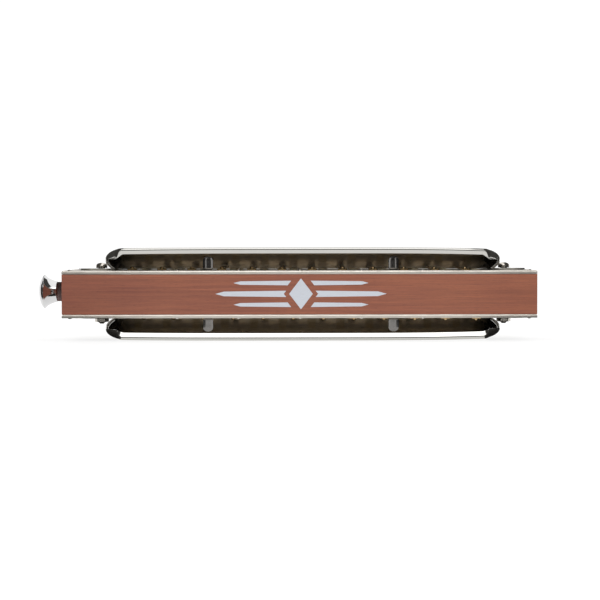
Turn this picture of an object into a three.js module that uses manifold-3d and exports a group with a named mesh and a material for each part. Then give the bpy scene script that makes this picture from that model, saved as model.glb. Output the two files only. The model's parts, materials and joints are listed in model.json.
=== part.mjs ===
// A twelve-hole chromatic harmonica: a wooden comb between two brass reed plates, a cover over each
// plate, and a mouthpiece with a spring-loaded slide that is pushed in by a knob.
// Millimetres, +Z up, resting on the flat crown of the bottom cover. +Y points at the player's mouth,
// -Y is the open back of the covers, and the knob stands out at -X.
import * as THREE from "three";
import { mergeVertices } from "three/addons/utils/BufferGeometryUtils.js";
import Module from "manifold-3d";

const wasm = await Module();
wasm.setup();

// ---------------------------------------------------------------- driving dimensions
const HOLES = 12;
const PITCH = 9.35; // from one mouth hole to the next
const OFFSET = 1.0; // the holes, covers and bolts are centred a little away from the knob
const BODY_LENGTH = 144.5;
const REAR = -16.5; // back face of the comb
const FRONT = 16.5; // front face of the comb, which the mouthpiece covers
const COMB_HALF = 6.1; // half the comb's thickness
const PLATE = 1.05; // reed plate thickness
const SEAT = 0.05; // gap left between pieces that rest on each other

const COVER_RISE = 7.05; // crown of a cover above its reed plate
const SHEET = 0.6; // cover sheet
const COVER_REAR = -13.0;
const COVER_FRONT = 16.1;
const CROWN_FRONT = 10.0; // where the flat crown starts to fall to the mouthpiece
const CROWN_HALF = 54.8; // half the crown's length
const BULGE_HALF = 60.8; // half the cover's length where its ends bulge most
const BULGE_HEIGHT = 3.5;
const FOOT_HALF = 57.4; // half the cover's length at the reed plate
const LIP = 2.3; // the folded lip that hangs from the back edge of the crown
const TAB_END = 69.3;
const TAB_HALF_WIDTH = 5.5;

const BOLT_X = 62.8;
const BOLT_R = 1.1;
const BOLT_HEAD_R = 1.8;
const BOLT_HEAD_H = 1.65;
const NUT_ACROSS = 3.9;
const NUT_H = 1.1;
const BOLT_TIP = 0.55; // thread that shows past the nut

const SUPPORT_WIDTH = 3.16;
const SUPPORT_HEIGHT = 4.25;
const SUPPORT_SHEET = 0.5;
const SUPPORT_FOOT = 2.2;
const SUPPORTS_X = [-28.0, 28.8];

const SLOT_FRONT = 11.0; // front end of every reed slot
const SHORT_REED = 10.0; // hole at the knob end, the highest note
const LONG_REED = 20.5; // hole at the far end, the lowest note
const REED_OFFSET = 1.75; // each reed stands this far to its side of the chamber's middle
const SLOT_WIDTH = 2.3;
const TONGUE_WIDTH = 2.05;
const TONGUE = 0.22;
const PAD_WIDTH = 2.8;
const PAD_LENGTH = 3.2;
const PAD = 0.42;
const TIP_RISE = 0.35; // gap under a reed's free end
const RIVET_R = 0.55;
const RIVET_H = 0.65; // rivet head above its reed
const RIVET_BACK = 2.0; // from the slot's rear end to the rivet

const CHAMBER_WIDTH = 6.9;
const WEB_HALF = 0.8; // half the wall between the upper and lower chambers
const CHAMBER_BEHIND_SLOT = 1.0;

const SLIDE_TRAVEL = PITCH / 2;
const SLIDE_HALF = 5.2;
const SLIDE_LEFT = -70.6;
const SLIDE_RIGHT = 62.9;
const TAB_HEIGHT = 6.2; // the slide's tongue that carries the knob
const LAYER = 0.8; // thickness of each plate in the slide housing
const PLAY = 0.06; // running clearance either side of the slide
const HOUSING_HALF = 6.05;
const HOUSING_LEFT = -71.0;
const HOUSING_RIGHT = 68.0;
const WINDOW_WIDTH = 4.3; // slide windows, narrower than half the pitch, so a closed one is airtight
const WINDOW_LOW = 0.75;
const WINDOW_HIGH = 4.6;

const MOUTHPIECE_HALF = 6.75;
const MOUTHPIECE_FRONT = 24.5;
const MOUTHPIECE_WALL = 0.6;
const MOUTH_HOLE_R = 2.9;
const MOUTH_SKIN = 1.6; // metal left at the front face, before the hole opens into its pocket
const SCREW_X = 66.0;
const SCREW_R = 0.9;
const BUMPER_R = 1.35;
const SCREW_HEAD_R = 1.9;
const SINK = 0.9; // depth of the seat under each screw's head

const KNOB_R = 5.5;
const KNOB_NECK_R = 3.4;
const KNOB_INNER = -78.0; // end of the knob's neck
const KNOB_OUTER = -83.9;
const PIN_R = 0.6;
const PIN_X = KNOB_INNER - 1.2;

// A hairpin of wire in the comb: its long leg passes through the slide and pushes it out.
const SPRING = {
  wire: 0.25, // wire radius
  tipX: -61.9, // where the long leg enters the slide
  coilX: -59.2,
  coilY: 9.4,
  coilR: 1.5,
  turns: 1.25,
  rise: 0.35, // each end of the coil stands this far from the middle plane
  pocketLeft: -64.2,
  pocketRight: -56.0,
  pocketBack: 7.0,
};

// ---------------------------------------------------------------- derived places
const COVER_HEIGHT_ABOVE_COMB = PLATE + COVER_RISE;
const MID_Z = COMB_HALF + COVER_HEIGHT_ABOVE_COMB + 2 * SEAT; // the comb's middle plane above the table
const PLATE_UNDER = COMB_HALF + SEAT; // inner face of a reed plate, measured from the middle plane
const PLATE_OUTER = PLATE_UNDER + PLATE;
const COVER_BASE = PLATE_OUTER + SEAT;
const BACK_PLATE_Y = FRONT + SEAT;
const SLIDE_Y = BACK_PLATE_Y + LAYER + PLAY;
const FRONT_PLATE_Y = SLIDE_Y + LAYER + PLAY;
const BAR_Y = FRONT_PLATE_Y + LAYER + SEAT; // back of the mouthpiece's solid bar
const SLIDE_MIDDLE_Y = SLIDE_Y + LAYER / 2;
const chamberX = (k) => OFFSET + (k - (HOLES - 1) / 2) * PITCH;
const reedLength = (k) => SHORT_REED + ((LONG_REED - SHORT_REED) * k) / (HOLES - 1);
const boltX = (side) => OFFSET + side * BOLT_X;
const rivetY = (k) => SLOT_FRONT - reedLength(k) - RIVET_BACK;

// ---------------------------------------------------------------- finishes
const finish = (color, roughness, metalness) =>
  new THREE.MeshStandardMaterial({ color, roughness, metalness });
const WOOD = finish(0x96604c, 0.5, 0);
const BRASS = finish(0xc9a860, 0.32, 1);
const CHROME = finish(0xd8d8d6, 0.08, 1);
const STEEL = finish(0xb4b2ac, 0.3, 1);
const SPRING_STEEL = finish(0x8b8b8f, 0.35, 1);
const RUBBER = finish(0x1c1c1e, 0.8, 0);
const VALVE_FILM = finish(0xe3dcc6, 0.6, 0);

// ---------------------------------------------------------------- solid helpers
function solid(geometry) {
  const bare = geometry.index ? geometry.toNonIndexed() : geometry.clone();
  for (const name of Object.keys(bare.attributes)) if (name !== "position") bare.deleteAttribute(name);
  const merged = mergeVertices(bare, 1e-4);
  return new wasm.Manifold(
    new wasm.Mesh({
      numProp: 3,
      vertProperties: merged.attributes.position.array,
      triVerts: new Uint32Array(merged.index.array),
    }),
  );
}

function geometryOf(made) {
  const mesh = made.getMesh();
  const out = new Float32Array(mesh.triVerts.length * 3);
  mesh.triVerts.forEach((v, i) =>
    out.set(mesh.vertProperties.subarray(v * mesh.numProp, v * mesh.numProp + 3), i * 3),
  );
  return new THREE.BufferGeometry().setAttribute("position", new THREE.BufferAttribute(out, 3));
}

const cut = (base, tools) => tools.reduce((left, tool) => left.subtract(tool), base);

// A box between two corners.
function block(x0, x1, y0, y1, z0, z1) {
  return new THREE.BoxGeometry(x1 - x0, y1 - y0, z1 - z0).translate(
    (x0 + x1) / 2,
    (y0 + y1) / 2,
    (z0 + z1) / 2,
  );
}

// An outline drawn in XY, raised along Z.
const raiseZ = (shape, z0, z1, curveSegments = 8) =>
  new THREE.ExtrudeGeometry(shape, { depth: z1 - z0, bevelEnabled: false, curveSegments }).translate(
    0,
    0,
    z0,
  );

// An outline drawn in XZ, swept along Y.
const sweepY = (shape, y0, y1, curveSegments = 8) =>
  new THREE.ExtrudeGeometry(shape, { depth: y1 - y0, bevelEnabled: false, curveSegments })
    .rotateX(Math.PI / 2)
    .translate(0, y1, 0);

// An outline drawn in YZ, swept along X.
const sweepX = (shape, x0, x1, curveSegments = 8) =>
  new THREE.ExtrudeGeometry(shape, { depth: x1 - x0, bevelEnabled: false, curveSegments })
    .rotateZ(Math.PI / 2)
    .rotateY(Math.PI / 2)
    .translate(x0, 0, 0);

// A turned profile of [radius, height] points about an axis, starting and ending on that axis.
const turned = (points, segments) =>
  new THREE.LatheGeometry(
    points.map(([r, h]) => new THREE.Vector2(r, h)),
    segments,
  );
const turnedZ = (points, segments = 20) => turned(points, segments).rotateX(Math.PI / 2);
const turnedY = (points, segments = 20) => turned(points, segments);
const turnedX = (points, segments = 32) => turned(points, segments).rotateZ(-Math.PI / 2);
const rod = (r, h0, h1) => [
  [0, h0],
  [r, h0],
  [r, h1],
  [0, h1],
];

function roundHole(x, y, r) {
  const hole = new THREE.Path();
  hole.absarc(x, y, r, 0, 2 * Math.PI, false);
  return hole;
}

// The two cover bolts' holes, from z0 to z1, and the two mouthpiece screws' holes, from y0 to y1.
const boltHoles = (z0, z1) =>
  [-1, 1].map((side) => solid(turnedZ(rod(BOLT_R + 0.1, z0, z1), 12).translate(boltX(side), 0, 0)));
const screwHoles = (y0, y1) =>
  [-1, 1].map((side) => solid(turnedY(rod(SCREW_R + 0.08, y0, y1), 12).translate(side * SCREW_X, 0, 0)));

function piece(name, geometry, material) {
  const mesh = new THREE.Mesh(geometry, material);
  mesh.name = name;
  return mesh;
}

// ---------------------------------------------------------------- comb
function comb() {
  const body = solid(block(-BODY_LENGTH / 2, BODY_LENGTH / 2, REAR, FRONT, -COMB_HALF, COMB_HALF));
  const tools = [];
  for (let k = 0; k < HOLES; k++) {
    const back = SLOT_FRONT - reedLength(k) - CHAMBER_BEHIND_SLOT;
    const left = chamberX(k) - CHAMBER_WIDTH / 2;
    const right = chamberX(k) + CHAMBER_WIDTH / 2;
    tools.push(solid(block(left, right, back, FRONT + 1, WEB_HALF, COMB_HALF + 1)));
    tools.push(solid(block(left, right, back, FRONT + 1, -COMB_HALF - 1, -WEB_HALF)));
  }
  tools.push(...boltHoles(-COMB_HALF - 1, COMB_HALF + 1), ...screwHoles(FRONT - 9, FRONT + 1));
  tools.push(solid(block(SPRING.pocketLeft, SPRING.pocketRight, SPRING.pocketBack, FRONT + 1, -1.6, 1.6)));
  return piece("comb", geometryOf(cut(body, tools)), WOOD);
}

// ---------------------------------------------------------------- reed plates and reeds
// side is +1 where the outside reeds stand on the +X side of their chambers, and -1 otherwise.
function reedPlate(name, side) {
  const [z0, z1] = [PLATE_UNDER, PLATE_OUTER];
  const plate = solid(block(-BODY_LENGTH / 2, BODY_LENGTH / 2, REAR, FRONT, z0, z1));
  const tools = boltHoles(z0 - 1, z1 + 1);
  for (let k = 0; k < HOLES; k++)
    for (const offset of [-REED_OFFSET, REED_OFFSET]) {
      const left = chamberX(k) + side * offset - SLOT_WIDTH / 2;
      const rear = SLOT_FRONT - reedLength(k);
      tools.push(solid(block(left, left + SLOT_WIDTH, rear, SLOT_FRONT, z0 - 1, z1 + 1)));
    }
  return piece(name, geometryOf(cut(plate, tools)), BRASS);
}

// One outside reed, with its rivet's head: a thick pad behind the slot and a thin tongue over it.
function outsideReed(name, k, side) {
  const x = chamberX(k) + side * REED_OFFSET;
  const base = PLATE_OUTER + SEAT;
  const y = rivetY(k);
  const padFront = y + PAD_LENGTH / 2;
  const tip = SLOT_FRONT - 0.15;
  const profile = new THREE.Shape();
  profile.moveTo(padFront - 0.3, base);
  profile.lineTo(tip, base + TIP_RISE);
  profile.lineTo(tip, base + TIP_RISE + TONGUE);
  profile.lineTo(padFront - 0.3, base + TONGUE);
  profile.closePath();
  const tongue = solid(sweepX(profile, x - TONGUE_WIDTH / 2, x + TONGUE_WIDTH / 2));
  const pad = solid(
    block(x - PAD_WIDTH / 2, x + PAD_WIDTH / 2, y - PAD_LENGTH / 2, padFront, base, base + PAD),
  );
  const head = turnedZ(
    [
      [0, base],
      [RIVET_R, base],
      [RIVET_R, base + PAD + RIVET_H * 0.6],
      [RIVET_R * 0.6, base + PAD + RIVET_H],
      [0, base + PAD + RIVET_H],
    ],
    8,
  ).translate(x, y, 0);
  return piece(name, geometryOf(pad.add(tongue).add(solid(head))), BRASS);
}

// One outside valve: a strip of film over the neighbouring slot, glued down at its front end.
function outsideValve(name, k, side) {
  const x = chamberX(k) - side * REED_OFFSET;
  const base = PLATE_OUTER + SEAT;
  const front = SLOT_FRONT + 2.4;
  const rear = SLOT_FRONT - reedLength(k) - 0.5;
  const film = 0.2;
  const lift = 0.4;
  const profile = new THREE.Shape();
  profile.moveTo(front, base);
  profile.lineTo(front, base + film);
  profile.lineTo(SLOT_FRONT, base + film);
  profile.lineTo(rear, base + film + lift);
  profile.lineTo(rear, base + lift);
  profile.lineTo(SLOT_FRONT, base);
  profile.closePath();
  return piece(name, sweepX(profile, x - 1.3, x + 1.3), VALVE_FILM);
}

// ---------------------------------------------------------------- cover plates
// Half of the end-to-end outline in XZ, mirrored into a whole: foot, bulge, rounded shoulder, crown.
// inset moves it inwards by the sheet's thickness; drop is how far the foot reaches below its base.
function coverOutline(inset, drop) {
  const crown = COVER_BASE + COVER_RISE - inset;
  const bulge = BULGE_HALF - inset;
  const foot = FOOT_HALF - inset;
  const knee = COVER_BASE + BULGE_HEIGHT;
  const outline = new THREE.Shape();
  outline.moveTo(-foot, COVER_BASE - drop);
  outline.lineTo(foot, COVER_BASE - drop);
  outline.quadraticCurveTo(foot + 0.3, COVER_BASE + 0.6, foot + 1.4, COVER_BASE + 1.3);
  outline.quadraticCurveTo(bulge, COVER_BASE + 2.2, bulge, knee);
  outline.absellipse(CROWN_HALF, knee, bulge - CROWN_HALF, crown - knee, 0, Math.PI / 2, false, 0);
  outline.absellipse(-CROWN_HALF, knee, bulge - CROWN_HALF, crown - knee, Math.PI / 2, Math.PI, false, 0);
  outline.quadraticCurveTo(-bulge, COVER_BASE + 2.2, -foot - 1.4, COVER_BASE + 1.3);
  outline.quadraticCurveTo(-foot - 0.3, COVER_BASE + 0.6, -foot, COVER_BASE - drop);
  return outline;
}

// The side view in YZ: a flat crown with a small rear shoulder that falls in a quarter ellipse in front.
function coverProfile(inset, rear, drop) {
  const crown = COVER_BASE + COVER_RISE - inset;
  const shoulder = 0.8;
  const low = COVER_BASE + 0.7;
  const front = COVER_FRONT - inset;
  const profile = new THREE.Shape();
  profile.moveTo(rear, COVER_BASE - drop);
  profile.lineTo(front, COVER_BASE - drop);
  profile.lineTo(front, low);
  profile.absellipse(CROWN_FRONT, low, front - CROWN_FRONT, crown - low, 0, Math.PI / 2, false, 0);
  profile.lineTo(rear + shoulder, crown);
  profile.quadraticCurveTo(rear, crown, rear, crown - shoulder);
  profile.closePath();
  return profile;
}

// The mouth inside the rear lip: an arch that leaves the crown's lip and fades out down the ends.
function coverMouth() {
  const top = COVER_BASE + COVER_RISE - LIP;
  const half = FOOT_HALF + 1.3;
  const spring = COVER_BASE + 0.9;
  const arch = new THREE.Shape();
  arch.moveTo(-half, COVER_BASE - 1);
  arch.lineTo(half, COVER_BASE - 1);
  arch.lineTo(half, spring);
  arch.absellipse(half - 6, spring, 6, top - spring, 0, Math.PI / 2, false, 0);
  arch.absellipse(-half + 6, spring, 6, top - spring, Math.PI / 2, Math.PI, false, 0);
  arch.closePath();
  return arch;
}

// The tab at one end, with a rounded end and the bolt's hole, lying on the reed plate.
function coverTab(side) {
  const inner = FOOT_HALF - 0.3;
  const round = 3.4;
  const tab = new THREE.Shape();
  tab.moveTo(side * inner, -TAB_HALF_WIDTH - 1.4);
  tab.lineTo(side * (TAB_END - round), -TAB_HALF_WIDTH);
  tab.quadraticCurveTo(side * TAB_END, -TAB_HALF_WIDTH, side * TAB_END, -TAB_HALF_WIDTH + round);
  tab.lineTo(side * TAB_END, TAB_HALF_WIDTH - round);
  tab.quadraticCurveTo(side * TAB_END, TAB_HALF_WIDTH, side * (TAB_END - round), TAB_HALF_WIDTH);
  tab.lineTo(side * inner, TAB_HALF_WIDTH + 1.4);
  tab.closePath();
  tab.holes.push(roundHole(side * BOLT_X, 0, BOLT_R + 0.1));
  return solid(raiseZ(tab, COVER_BASE, COVER_BASE + SHEET, 5));
}

function cover(name) {
  const segments = 6;
  const outer = solid(sweepY(coverOutline(0, 0), COVER_REAR, COVER_FRONT, segments)).intersect(
    solid(sweepX(coverProfile(0, COVER_REAR, 0), -BULGE_HALF - 1, BULGE_HALF + 1, segments)),
  );
  const lipBack = COVER_REAR + SHEET;
  const inner = solid(sweepY(coverOutline(SHEET, 1), lipBack, COVER_FRONT, segments)).intersect(
    solid(sweepX(coverProfile(SHEET, lipBack, 1), -BULGE_HALF - 1, BULGE_HALF + 1, segments)),
  );
  const mouth = solid(sweepY(coverMouth(), COVER_REAR - 1, lipBack + 0.5, segments));
  const shell = outer.subtract(inner).subtract(mouth);
  const whole = shell.add(coverTab(-1)).add(coverTab(1));
  const made = piece(name, geometryOf(whole), CHROME);
  made.position.x = OFFSET;
  return made;
}

// ---------------------------------------------------------------- cover supports
// An angle bracket: a foot on the reed plate and a round-topped post just inside the cover's lip.
function support(name, x) {
  const base = PLATE_OUTER + SEAT;
  const half = SUPPORT_WIDTH / 2;
  const back = COVER_REAR + SHEET + 0.35;
  const post = new THREE.Shape();
  post.moveTo(x - half, base);
  post.lineTo(x + half, base);
  post.lineTo(x + half, base + SUPPORT_HEIGHT - half);
  post.absarc(x, base + SUPPORT_HEIGHT - half, half, 0, Math.PI, false);
  post.closePath();
  const upright = solid(sweepY(post, back, back + SUPPORT_SHEET, 10));
  const narrow = SUPPORT_FOOT / 2;
  const foot = solid(block(x - narrow, x + narrow, back, back + 2.6, base, base + SUPPORT_SHEET));
  return piece(name, geometryOf(upright.add(foot)), STEEL);
}

// ---------------------------------------------------------------- cover bolts and nuts
function coverBolt(name, side) {
  const under = COVER_BASE + SHEET + SEAT;
  const end = -(COVER_BASE + SHEET + SEAT + NUT_H + BOLT_TIP);
  const head = under + BOLT_HEAD_H;
  const body = solid(
    turnedZ(
      [
        [0, end],
        [BOLT_R - 0.25, end],
        [BOLT_R, end + 0.25],
        [BOLT_R, under],
        [BOLT_HEAD_R, under],
        [BOLT_HEAD_R, under + 0.55],
        [BOLT_HEAD_R * 0.88, under + 1.05],
        [BOLT_HEAD_R * 0.55, head - 0.12],
        [0, head],
      ],
      20,
    ),
  );
  const slot = solid(block(-BOLT_HEAD_R - 1, BOLT_HEAD_R + 1, -0.25, 0.25, head - 0.75, head + 1));
  const made = piece(name, geometryOf(body.subtract(slot)), STEEL);
  made.position.x = boltX(side);
  return made;
}

function coverNut(name, side) {
  const top = -(COVER_BASE + SHEET + SEAT);
  const radius = NUT_ACROSS / Math.sqrt(3);
  const outline = new THREE.Shape();
  for (let i = 0; i < 6; i++) {
    const angle = (i * Math.PI) / 3;
    const point = [radius * Math.cos(angle), radius * Math.sin(angle)];
    if (i === 0) outline.moveTo(...point);
    else outline.lineTo(...point);
  }
  outline.closePath();
  outline.holes.push(roundHole(0, 0, BOLT_R + 0.06));
  const made = piece(name, raiseZ(outline, top - NUT_H, top, 5), STEEL);
  made.position.x = boltX(side);
  return made;
}

// ---------------------------------------------------------------- slide housing
function slideBackPlate() {
  const y0 = BACK_PLATE_Y;
  const y1 = BACK_PLATE_Y + LAYER;
  const plate = solid(block(HOUSING_LEFT, HOUSING_RIGHT, y0, y1, -HOUSING_HALF, HOUSING_HALF));
  const tools = screwHoles(y0 - 1, y1 + 1);
  for (let k = 0; k < HOLES; k++)
    for (const [low, high] of [
      [WEB_HALF, WINDOW_HIGH + 0.5],
      [-WINDOW_HIGH - 0.5, -WEB_HALF],
    ])
      tools.push(solid(block(chamberX(k) - 2.5, chamberX(k) + 2.5, y0 - 1, y1 + 1, low, high)));
  const springRight = SPRING.tipX + SLIDE_TRAVEL + 0.6;
  tools.push(solid(block(SPRING.tipX - 0.6, springRight, y0 - 1, y1 + 1, -0.6, 0.6)));
  return piece("slide_back_plate", geometryOf(cut(plate, tools)), CHROME);
}

// A channel: a plate in front of the slide, and two rails that hold it off the back plate.
function slideFrontPlate() {
  const y0 = FRONT_PLATE_Y;
  const y1 = FRONT_PLATE_Y + LAYER;
  const tools = screwHoles(y0 - 1, y1 + 1);
  for (let k = 0; k < HOLES; k++) {
    const [left, right] = [chamberX(k) - 2.7, chamberX(k) + 2.7];
    tools.push(solid(block(left, right, y0 - 1, y1 + 1, -WINDOW_HIGH, WINDOW_HIGH)));
  }
  let plate = cut(solid(block(HOUSING_LEFT, HOUSING_RIGHT, y0, y1, -HOUSING_HALF, HOUSING_HALF)), tools);
  const railBack = BACK_PLATE_Y + LAYER + SEAT;
  const rail = SLIDE_HALF + PLAY + 0.04;
  for (const [low, high] of [
    [rail, HOUSING_HALF],
    [-HOUSING_HALF, -rail],
  ])
    plate = plate.add(solid(block(HOUSING_LEFT, HOUSING_RIGHT, railBack, y0 + 0.1, low, high)));
  return piece("slide_front_plate", geometryOf(plate), CHROME);
}

// ---------------------------------------------------------------- slide, knob and pin
function slide() {
  const outline = new THREE.Shape();
  outline.moveTo(KNOB_INNER - 2.4, -TAB_HEIGHT / 2);
  outline.lineTo(SLIDE_LEFT, -TAB_HEIGHT / 2);
  outline.lineTo(SLIDE_LEFT + 1.6, -SLIDE_HALF);
  outline.lineTo(SLIDE_RIGHT, -SLIDE_HALF);
  outline.lineTo(SLIDE_RIGHT, SLIDE_HALF);
  outline.lineTo(SLIDE_LEFT + 1.6, SLIDE_HALF);
  outline.lineTo(SLIDE_LEFT, TAB_HEIGHT / 2);
  outline.lineTo(KNOB_INNER - 2.4, TAB_HEIGHT / 2);
  outline.closePath();
  const y0 = SLIDE_Y - 1;
  const y1 = SLIDE_Y + LAYER + 1;
  const half = WINDOW_WIDTH / 2;
  const tools = [];
  for (let k = 0; k < HOLES; k++) {
    const open = chamberX(k);
    const pressed = open - SLIDE_TRAVEL;
    tools.push(solid(block(open - half, open + half, y0, y1, WINDOW_LOW, WINDOW_HIGH)));
    tools.push(solid(block(pressed - half, pressed + half, y0, y1, -WINDOW_HIGH, -WINDOW_LOW)));
  }
  const stop = BUMPER_R + 0.05;
  const left = -SCREW_X - SLIDE_TRAVEL - stop;
  tools.push(solid(block(left, -SCREW_X + stop, y0, y1, -stop, stop)));
  tools.push(solid(block(SCREW_X - SLIDE_TRAVEL - stop, SLIDE_RIGHT + 1, y0, y1, -stop, stop)));
  tools.push(solid(turnedY(rod(SPRING.wire + 0.22, y0, y1), 12).translate(SPRING.tipX, 0, 0)));
  tools.push(solid(turnedY(rod(PIN_R + 0.06, y0, y1), 12).translate(PIN_X, 0, 0)));
  const strip = solid(sweepY(outline, SLIDE_Y, SLIDE_Y + LAYER));
  return piece("slide", geometryOf(cut(strip, tools)), CHROME);
}

// The knob is turned: a domed face, a thin rim, and a concave flank that falls to a narrow neck.
function knob() {
  const length = KNOB_INNER - KNOB_OUTER;
  const flank = new THREE.CubicBezierCurve(
    new THREE.Vector2(KNOB_R - 0.15, 2.15),
    new THREE.Vector2(4.5, 2.75),
    new THREE.Vector2(3.85, 4.0),
    new THREE.Vector2(KNOB_NECK_R + 0.02, length - 0.35),
  ).getPoints(5);
  const points = [
    [0, 0],
    [1.6, 0.1],
    [3.1, 0.45],
    [4.4, 1.0],
    [KNOB_R, 1.85],
    ...flank.map((p) => [p.x, p.y]),
    [KNOB_NECK_R, length],
    [0, length],
  ];
  const turnedBody = turnedX(points, 24).translate(KNOB_OUTER, SLIDE_MIDDLE_Y, 0);
  const slot = block(
    KNOB_INNER - 2.6,
    KNOB_INNER + 1,
    SLIDE_MIDDLE_Y - LAYER / 2 - 0.06,
    SLIDE_MIDDLE_Y + LAYER / 2 + 0.06,
    -TAB_HEIGHT / 2 - 0.06,
    TAB_HEIGHT / 2 + 0.06,
  );
  const bore = turnedY(rod(PIN_R + 0.05, SLIDE_MIDDLE_Y - 5, SLIDE_MIDDLE_Y + 5), 12);
  const made = cut(solid(turnedBody), [solid(slot), solid(bore.translate(PIN_X, 0, 0))]);
  return piece("knob", geometryOf(made), CHROME);
}

function knobPin() {
  const half = KNOB_NECK_R - 0.15;
  const made = turnedY(rod(PIN_R, SLIDE_MIDDLE_Y - half, SLIDE_MIDDLE_Y + half), 12);
  return piece("knob_pin", made.translate(PIN_X, 0, 0), STEEL);
}

// ---------------------------------------------------------------- return spring
// The short leg runs into the pocket's wall, and the long leg leaves the coil towards the slide.
function returnSpring() {
  const points = [];
  const add = (x, y, z) => points.push(new THREE.Vector3(x, y, z));
  const { coilX, coilY, coilR, tipX, rise } = SPRING;
  add(SPRING.pocketRight - 0.1, coilY - coilR - 0.2, -rise);
  add(coilX + 1.4, coilY - coilR, -rise);
  const steps = 15;
  for (let i = 0; i <= steps; i++) {
    const angle = -Math.PI * (0.5 + (2 * SPRING.turns * i) / steps);
    const z = -rise + (2 * rise * i) / steps;
    add(coilX + coilR * Math.cos(angle), coilY + coilR * Math.sin(angle), z);
  }
  add(tipX, FRONT - 1.6, rise * 0.4);
  add(tipX, FRONT, 0);
  add(tipX, SLIDE_Y + LAYER - 0.1, 0);
  const path = new THREE.CatmullRomCurve3(points, false, "centripetal");
  const section = new THREE.Shape();
  section.absarc(0, 0, SPRING.wire, 0, 2 * Math.PI, false);
  const wire = new THREE.ExtrudeGeometry(section, { steps: 44, extrudePath: path, curveSegments: 3 });
  return piece("return_spring", wire, SPRING_STEEL);
}

// ---------------------------------------------------------------- mouthpiece, its screws and bumpers
function mouthpieceProfile() {
  const profile = new THREE.Shape();
  const half = MOUTHPIECE_HALF;
  const bow = FRONT + 3.4;
  profile.moveTo(FRONT + SEAT, -half);
  profile.lineTo(bow, -half);
  profile.bezierCurveTo(MOUTHPIECE_FRONT - 1.4, -half, MOUTHPIECE_FRONT, -4.6, MOUTHPIECE_FRONT, -2.6);
  profile.lineTo(MOUTHPIECE_FRONT, 2.6);
  profile.bezierCurveTo(MOUTHPIECE_FRONT, 4.6, MOUTHPIECE_FRONT - 1.4, half, bow, half);
  profile.lineTo(FRONT + SEAT, half);
  profile.closePath();
  return profile;
}

// In plan the bar's two front corners are rounded.
function mouthpiecePlan() {
  const half = BODY_LENGTH / 2;
  const round = 3.2;
  const plan = new THREE.Shape();
  plan.moveTo(-half, FRONT - 1);
  plan.lineTo(half, FRONT - 1);
  plan.lineTo(half, MOUTHPIECE_FRONT - round);
  plan.absarc(half - round, MOUTHPIECE_FRONT - round, round, 0, Math.PI / 2, false);
  plan.lineTo(-half + round, MOUTHPIECE_FRONT);
  plan.absarc(-half + round, MOUTHPIECE_FRONT - round, round, Math.PI / 2, Math.PI, false);
  plan.closePath();
  return plan;
}

function mouthpiece() {
  const half = BODY_LENGTH / 2;
  const body = solid(sweepX(mouthpieceProfile(), -half, half, 4)).intersect(
    solid(raiseZ(mouthpiecePlan(), -10, 10, 4)),
  );
  const inner = MOUTHPIECE_HALF - MOUTHPIECE_WALL;
  const tools = [solid(block(-half - 1, HOUSING_RIGHT + 0.1, FRONT - 1, BAR_Y, -inner, inner))];
  for (let k = 0; k < HOLES; k++) {
    const x = chamberX(k);
    const hole = turnedY(rod(MOUTH_HOLE_R, BAR_Y, MOUTHPIECE_FRONT + 1), 16);
    tools.push(solid(hole.translate(x, 0, 0)));
    const pocket = block(x - 3.6, x + 3.6, BAR_Y - 0.5, MOUTHPIECE_FRONT - MOUTH_SKIN, -4.7, 4.7);
    tools.push(solid(pocket));
  }
  tools.push(...screwHoles(FRONT - 1, MOUTHPIECE_FRONT + 1));
  for (const side of [-1, 1]) {
    const sink = turnedY(rod(SCREW_HEAD_R + 0.12, MOUTHPIECE_FRONT - SINK, MOUTHPIECE_FRONT + 1), 20);
    tools.push(solid(sink.translate(side * SCREW_X, 0, 0)));
  }
  return piece("mouthpiece", geometryOf(cut(body, tools)), CHROME);
}

function mouthpieceScrew(name, side) {
  const seat = MOUTHPIECE_FRONT - SINK + SEAT;
  const crown = seat + 1.5;
  const body = solid(
    turnedY(
      [
        [0, FRONT - 8.4],
        [SCREW_R * 0.5, FRONT - 7.8],
        [SCREW_R, FRONT - 6.6],
        [SCREW_R, seat],
        [SCREW_HEAD_R, seat],
        [SCREW_HEAD_R, seat + 0.75],
        [SCREW_HEAD_R * 0.8, seat + 1.2],
        [0, crown],
      ],
      20,
    ),
  );
  const slot = solid(block(-3, 3, crown - 0.6, crown + 1, -0.25, 0.25));
  const made = piece(name, geometryOf(body.subtract(slot)), STEEL);
  made.position.x = side * SCREW_X;
  return made;
}

// A rubber sleeve on the screw, inside the housing: the slide's slot stops against it.
function bumper(name, side) {
  const sleeve = new THREE.Shape();
  sleeve.absarc(0, 0, BUMPER_R, 0, 2 * Math.PI, false);
  sleeve.holes.push(roundHole(0, 0, SCREW_R + 0.05));
  const made = piece(name, sweepY(sleeve, SLIDE_Y, SLIDE_Y + LAYER, 8), RUBBER);
  made.position.x = side * SCREW_X;
  return made;
}

// ---------------------------------------------------------------- assembly
const harmonica = new THREE.Group();
const middle = new THREE.Group(); // everything is drawn about the comb's middle plane
middle.position.z = MID_Z;
harmonica.add(middle);
middle.add(comb());

// The lower half is the upper half turned over, with its reeds on the other side of each chamber.
for (const [word, flip, reedSide] of [
  ["top", 1, -1],
  ["bottom", -1, 1],
]) {
  const half = new THREE.Group();
  half.scale.z = flip;
  half.add(reedPlate(`${word}_reed_plate`, reedSide));
  half.add(cover(`${word}_cover`));
  half.add(support(`${word}_left_cover_support`, SUPPORTS_X[0]));
  half.add(support(`${word}_right_cover_support`, SUPPORTS_X[1]));
  for (let k = 0; k < HOLES; k++)
    half.add(outsideReed(`${word}_draw_reed_${HOLES - k}`, k, reedSide));
  if (word === "top")
    for (let k = 0; k < HOLES; k++) half.add(outsideValve(`top_valve_${HOLES - k}`, k, reedSide));
  middle.add(half);
}

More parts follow.
